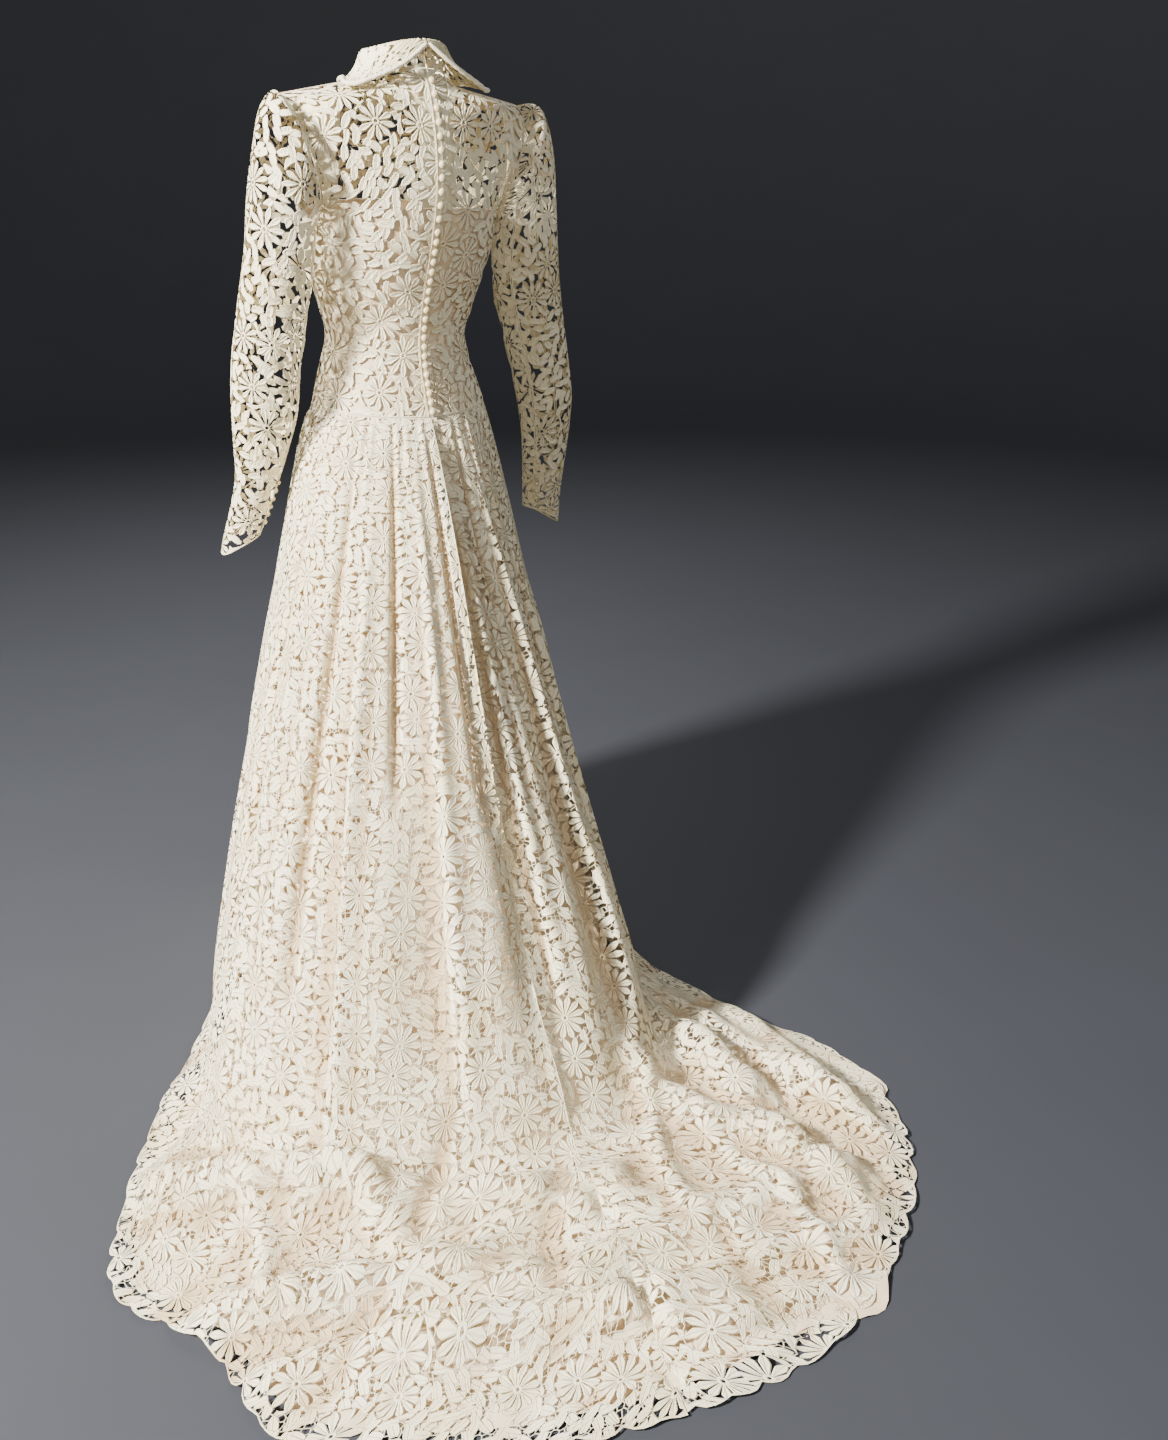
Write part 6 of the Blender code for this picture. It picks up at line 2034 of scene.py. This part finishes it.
def build_thread_loop(scene):
    """A loose loop of thread on the train's edge, by the wearer's right."""
    share = 0.604
    start = skirt_point(share, 0.955)
    end = skirt_point(share + 0.006, 0.975)
    path = []
    for step in range(25):
        part = step / 24.0
        point = start.lerp(end, part)
        lift = math.sin(math.pi * part)
        path.append(lowered(point + Vector((-0.020 * lift, 0.010 * math.sin(2.0 * math.pi * part),
                                            0.0020 + 0.010 * lift))))
    seated(simple_object("train_thread_loop", cord_finish(scene), [tube(path, 0.0006, 6)]),
           "trim")


def aim(place, target):
    """The rotation that turns -Z from place to target."""
    return (Vector(target) - Vector(place)).to_track_quat("-Z", "Y").to_euler()


def build_stage(scene):
    """The floor, the soft lights and the camera."""
    profile = [(0.0, 0.0), (FLOOR_RADIUS, 0.0)]
    for step in range(1, 13):
        angle = math.pi / 2.0 * step / 12.0
        profile.append((FLOOR_RADIUS + SWEEP_RADIUS * math.sin(angle),
                        SWEEP_RADIUS * (1.0 - math.cos(angle))))
    profile.append((FLOOR_RADIUS + SWEEP_RADIUS, SWEEP_HEIGHT))
    sides = 64
    points = []
    for reach, rise in profile:
        for side in range(sides):
            angle = 2.0 * math.pi * side / sides
            points.append((reach * math.cos(angle), reach * math.sin(angle), FLOOR + rise))
    faces = [(a, d, c, b) for a, b, c, d in ring_faces(len(profile), sides)]
    floor = mesh_object("floor", floor_material(scene.gown_colours), np.array(points),
                        np.array(faces))
    for row in LIGHTS:
        data = bpy.data.lights.new(row.name, "AREA")
        data.shape = "DISK"
        data.size = row.size
        data.energy = row.energy
        data.color = row.color
        lamp = bpy.data.objects.new(row.name, data)
        lamp.location = row.place
        lamp.rotation_euler = aim(row.place, row.aim)
        bpy.context.scene.collection.objects.link(lamp)
    world = bpy.data.worlds.new("soft_room")
    world.use_nodes = True
    back = world.node_tree.nodes["Background"]
    back.inputs["Color"].default_value = (*scene.gown_colours.room, 1.0)
    back.inputs["Strength"].default_value = scene.gown_colours.room_light
    bpy.context.scene.world = world
    lens = bpy.data.cameras.new("camera")
    lens.lens = CAMERA_LENS
    lens.sensor_width = 36.0
    lens.clip_start = 0.05
    camera = bpy.data.objects.new("camera", lens)
    camera.location = CAMERA_PLACE
    camera.rotation_euler = (math.radians(90.0 - CAMERA_PITCH), 0.0, math.radians(CAMERA_TURN))
    bpy.context.scene.collection.objects.link(camera)
    bpy.context.scene.camera = camera


class GownLace(bpy.types.PropertyGroup):
    """Sizes of the lace's repeat."""

    daisy_pitch: FloatProperty(
        name="Daisy spacing", description="From one daisy to the next",
        default=0.068, unit="LENGTH")
    daisy_reach: FloatProperty(
        name="Daisy radius", description="From a daisy's heart to its tips",
        default=0.0345, unit="LENGTH")
    daisy_share: FloatProperty(
        name="Daisy share", description="Share of the places that bloom", default=0.60)
    petals: IntProperty(name="Petals", description="Fewest petals of a daisy", default=10)
    petal_half: FloatProperty(
        name="Petal half width", description="Half a petal's width", default=0.0056, unit="LENGTH")
    petal_crowd: FloatProperty(
        name="Petal crowding", description="Most of its sector that half a petal fills",
        default=0.40)
    ring: FloatProperty(
        name="Heart radius", description="Radius of a daisy's ring heart",
        default=0.0050, unit="LENGTH")
    leaf_pitch: FloatProperty(
        name="Leaf spacing", description="From one leaf to the next", default=0.0178, unit="LENGTH")
    leaf_half_length: FloatProperty(
        name="Leaf half length", description="Half a leaf's length", default=0.0138, unit="LENGTH")
    leaf_half_width: FloatProperty(
        name="Leaf half width", description="Half a leaf's width", default=0.0061, unit="LENGTH")
    net_pitch: FloatProperty(
        name="Net spacing", description="From one gap of the net to the next",
        default=0.0082, unit="LENGTH")
    bar_half: FloatProperty(
        name="Bar half width", description="Half the width of a net bar",
        default=0.0006, unit="LENGTH")


class GownColours(bpy.types.PropertyGroup):
    """Colours of the cloth and the room."""

    lace: FloatVectorProperty(
        name="Lace", description="Colour of the lace's thread", subtype="COLOR",
        default=(0.92, 0.84, 0.61))
    satin: FloatVectorProperty(
        name="Lining", description="Colour of the satin lining", subtype="COLOR",
        default=(0.80, 0.65, 0.45))
    # Painted shade: this colour is mixed into the lace in fold troughs, in petal and leaf grooves
    # and along thread edges.
    shadow: FloatVectorProperty(
        name="Troughs", description="Colour of the lace deep in a fold", subtype="COLOR",
        default=(0.62, 0.44, 0.24))
    trim: FloatVectorProperty(
        name="Trim", description="Colour of the covered buttons", subtype="COLOR",
        default=(0.76, 0.62, 0.38))
    padding: FloatVectorProperty(
        name="Padding", description="Colour of pads and facings", subtype="COLOR",
        default=(0.86, 0.76, 0.50))
    # Darker than the lace: partly the cord's own tone, partly painted shade round the buttons and
    # along the seams.
    thread: FloatVectorProperty(
        name="Cord", description="Colour of loops and seam cords", subtype="COLOR",
        default=(0.58, 0.45, 0.26))
    floor: FloatVectorProperty(
        name="Floor", description="Colour of the floor", subtype="COLOR",
        default=(0.030, 0.032, 0.040))
    room: FloatVectorProperty(
        name="Room", description="Colour of the light all round", subtype="COLOR",
        default=(0.58, 0.60, 0.64))
    room_light: FloatProperty(
        name="Room light", description="Strength of the light all round", default=0.22)


class GOWN_OT_bodice(bpy.types.Operator):
    """Cut the bodice's lace front and backs."""

    bl_idname = "gown.bodice"
    bl_label = "Lace bodice"

    def execute(self, context):
        build_bodice(context.scene)
        return {"FINISHED"}


class GOWN_OT_sleeves(bpy.types.Operator):
    """Cut both long lace sleeves."""

    bl_idname = "gown.sleeves"
    bl_label = "Lace sleeves"

    def execute(self, context):
        build_sleeves(context.scene)
        return {"FINISHED"}


class GOWN_OT_collar(bpy.types.Operator):
    """Turn down the collar and roll its edge."""

    bl_idname = "gown.collar"
    bl_label = "Collar"

    def execute(self, context):
        build_collar(context.scene)
        return {"FINISHED"}


class GOWN_OT_bodice_lining(bpy.types.Operator):
    """Lay the strapless satin lining under the bodice."""

    bl_idname = "gown.bodice_lining"
    bl_label = "Bodice lining"

    def execute(self, context):
        build_bodice_lining(context.scene)
        return {"FINISHED"}


class GOWN_OT_facings(bpy.types.Operator):
    """Lay the opaque facings behind the buttons."""

    bl_idname = "gown.facings"
    bl_label = "Button facings"

    def execute(self, context):
        build_facings(context.scene)
        return {"FINISHED"}


class GOWN_OT_pads(bpy.types.Operator):
    """Fill the crescents inside the armhole seams."""

    bl_idname = "gown.pads"
    bl_label = "Shoulder crescents"

    def execute(self, context):
        build_pads(context.scene)
        return {"FINISHED"}


class GOWN_OT_skirt(bpy.types.Operator):
    """Hang the lace gores of the skirt and its train."""

    bl_idname = "gown.skirt"
    bl_label = "Lace skirt"

    def execute(self, context):
        build_skirt(context.scene)
        return {"FINISHED"}


class GOWN_OT_skirt_lining(bpy.types.Operator):
    """Hang the satin gores inside the lace skirt."""

    bl_idname = "gown.skirt_lining"
    bl_label = "Skirt lining"

    def execute(self, context):
        build_skirt_lining(context.scene)
        return {"FINISHED"}


class GOWN_OT_back_buttons(bpy.types.Operator):
    """Sew the covered buttons and their loops down the back."""

    bl_idname = "gown.back_buttons"
    bl_label = "Back buttons"

    def execute(self, context):
        build_back_buttons(context.scene)
        return {"FINISHED"}


class GOWN_OT_cuff_buttons(bpy.types.Operator):
    """Sew the small buttons and their loops on both cuffs."""

    bl_idname = "gown.cuff_buttons"
    bl_label = "Cuff buttons"

    def execute(self, context):
        build_cuff_buttons(context.scene)
        return {"FINISHED"}


class GOWN_OT_seams(bpy.types.Operator):
    """Run the raised cords along the seams."""

    bl_idname = "gown.seams"
    bl_label = "Seam cords"

    def execute(self, context):
        build_seams(context.scene)
        return {"FINISHED"}


class GOWN_OT_thread_loop(bpy.types.Operator):
    """Leave the loose thread loop on the train's edge."""

    bl_idname = "gown.thread_loop"
    bl_label = "Thread loop"

    def execute(self, context):
        build_thread_loop(context.scene)
        return {"FINISHED"}


class GOWN_OT_stage(bpy.types.Operator):
    """Set the floor, the lights and the camera."""

    bl_idname = "gown.stage"
    bl_label = "Stage"

    def execute(self, context):
        build_stage(context.scene)
        return {"FINISHED"}


OPERATORS = [
    GOWN_OT_stage, GOWN_OT_bodice, GOWN_OT_sleeves, GOWN_OT_collar, GOWN_OT_bodice_lining,
    GOWN_OT_facings, GOWN_OT_pads, GOWN_OT_skirt, GOWN_OT_skirt_lining, GOWN_OT_back_buttons,
    GOWN_OT_cuff_buttons, GOWN_OT_seams, GOWN_OT_thread_loop,
]


class GOWN_PT_sidebar(bpy.types.Panel):
    """Sizes, colours and the pieces of the gown."""

    bl_idname = "GOWN_PT_sidebar"
    bl_label = "Lace gown"
    bl_space_type = "VIEW_3D"
    bl_region_type = "UI"
    bl_category = "Gown"

    def draw(self, context):
        layout = self.layout
        for settings in (context.scene.gown_lace, context.scene.gown_colours):
            for name in settings.__annotations__:
                layout.prop(settings, name)
        for row in OPERATORS:
            layout.operator(row.bl_idname)


CLASSES = [GownLace, GownColours, *OPERATORS, GOWN_PT_sidebar]


def register():
    for item in CLASSES:
        bpy.utils.register_class(item)
    bpy.types.Scene.gown_lace = PointerProperty(type=GownLace)
    bpy.types.Scene.gown_colours = PointerProperty(type=GownColours)


def unregister():
    del bpy.types.Scene.gown_colours
    del bpy.types.Scene.gown_lace
    for item in reversed(CLASSES):
        bpy.utils.unregister_class(item)


def main():
    """Build every piece in order."""
    register()
    for row in OPERATORS:
        group, name = row.bl_idname.split(".")
        getattr(getattr(bpy.ops, group), name)()
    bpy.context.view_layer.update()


if __name__ == "__main__":
    main()
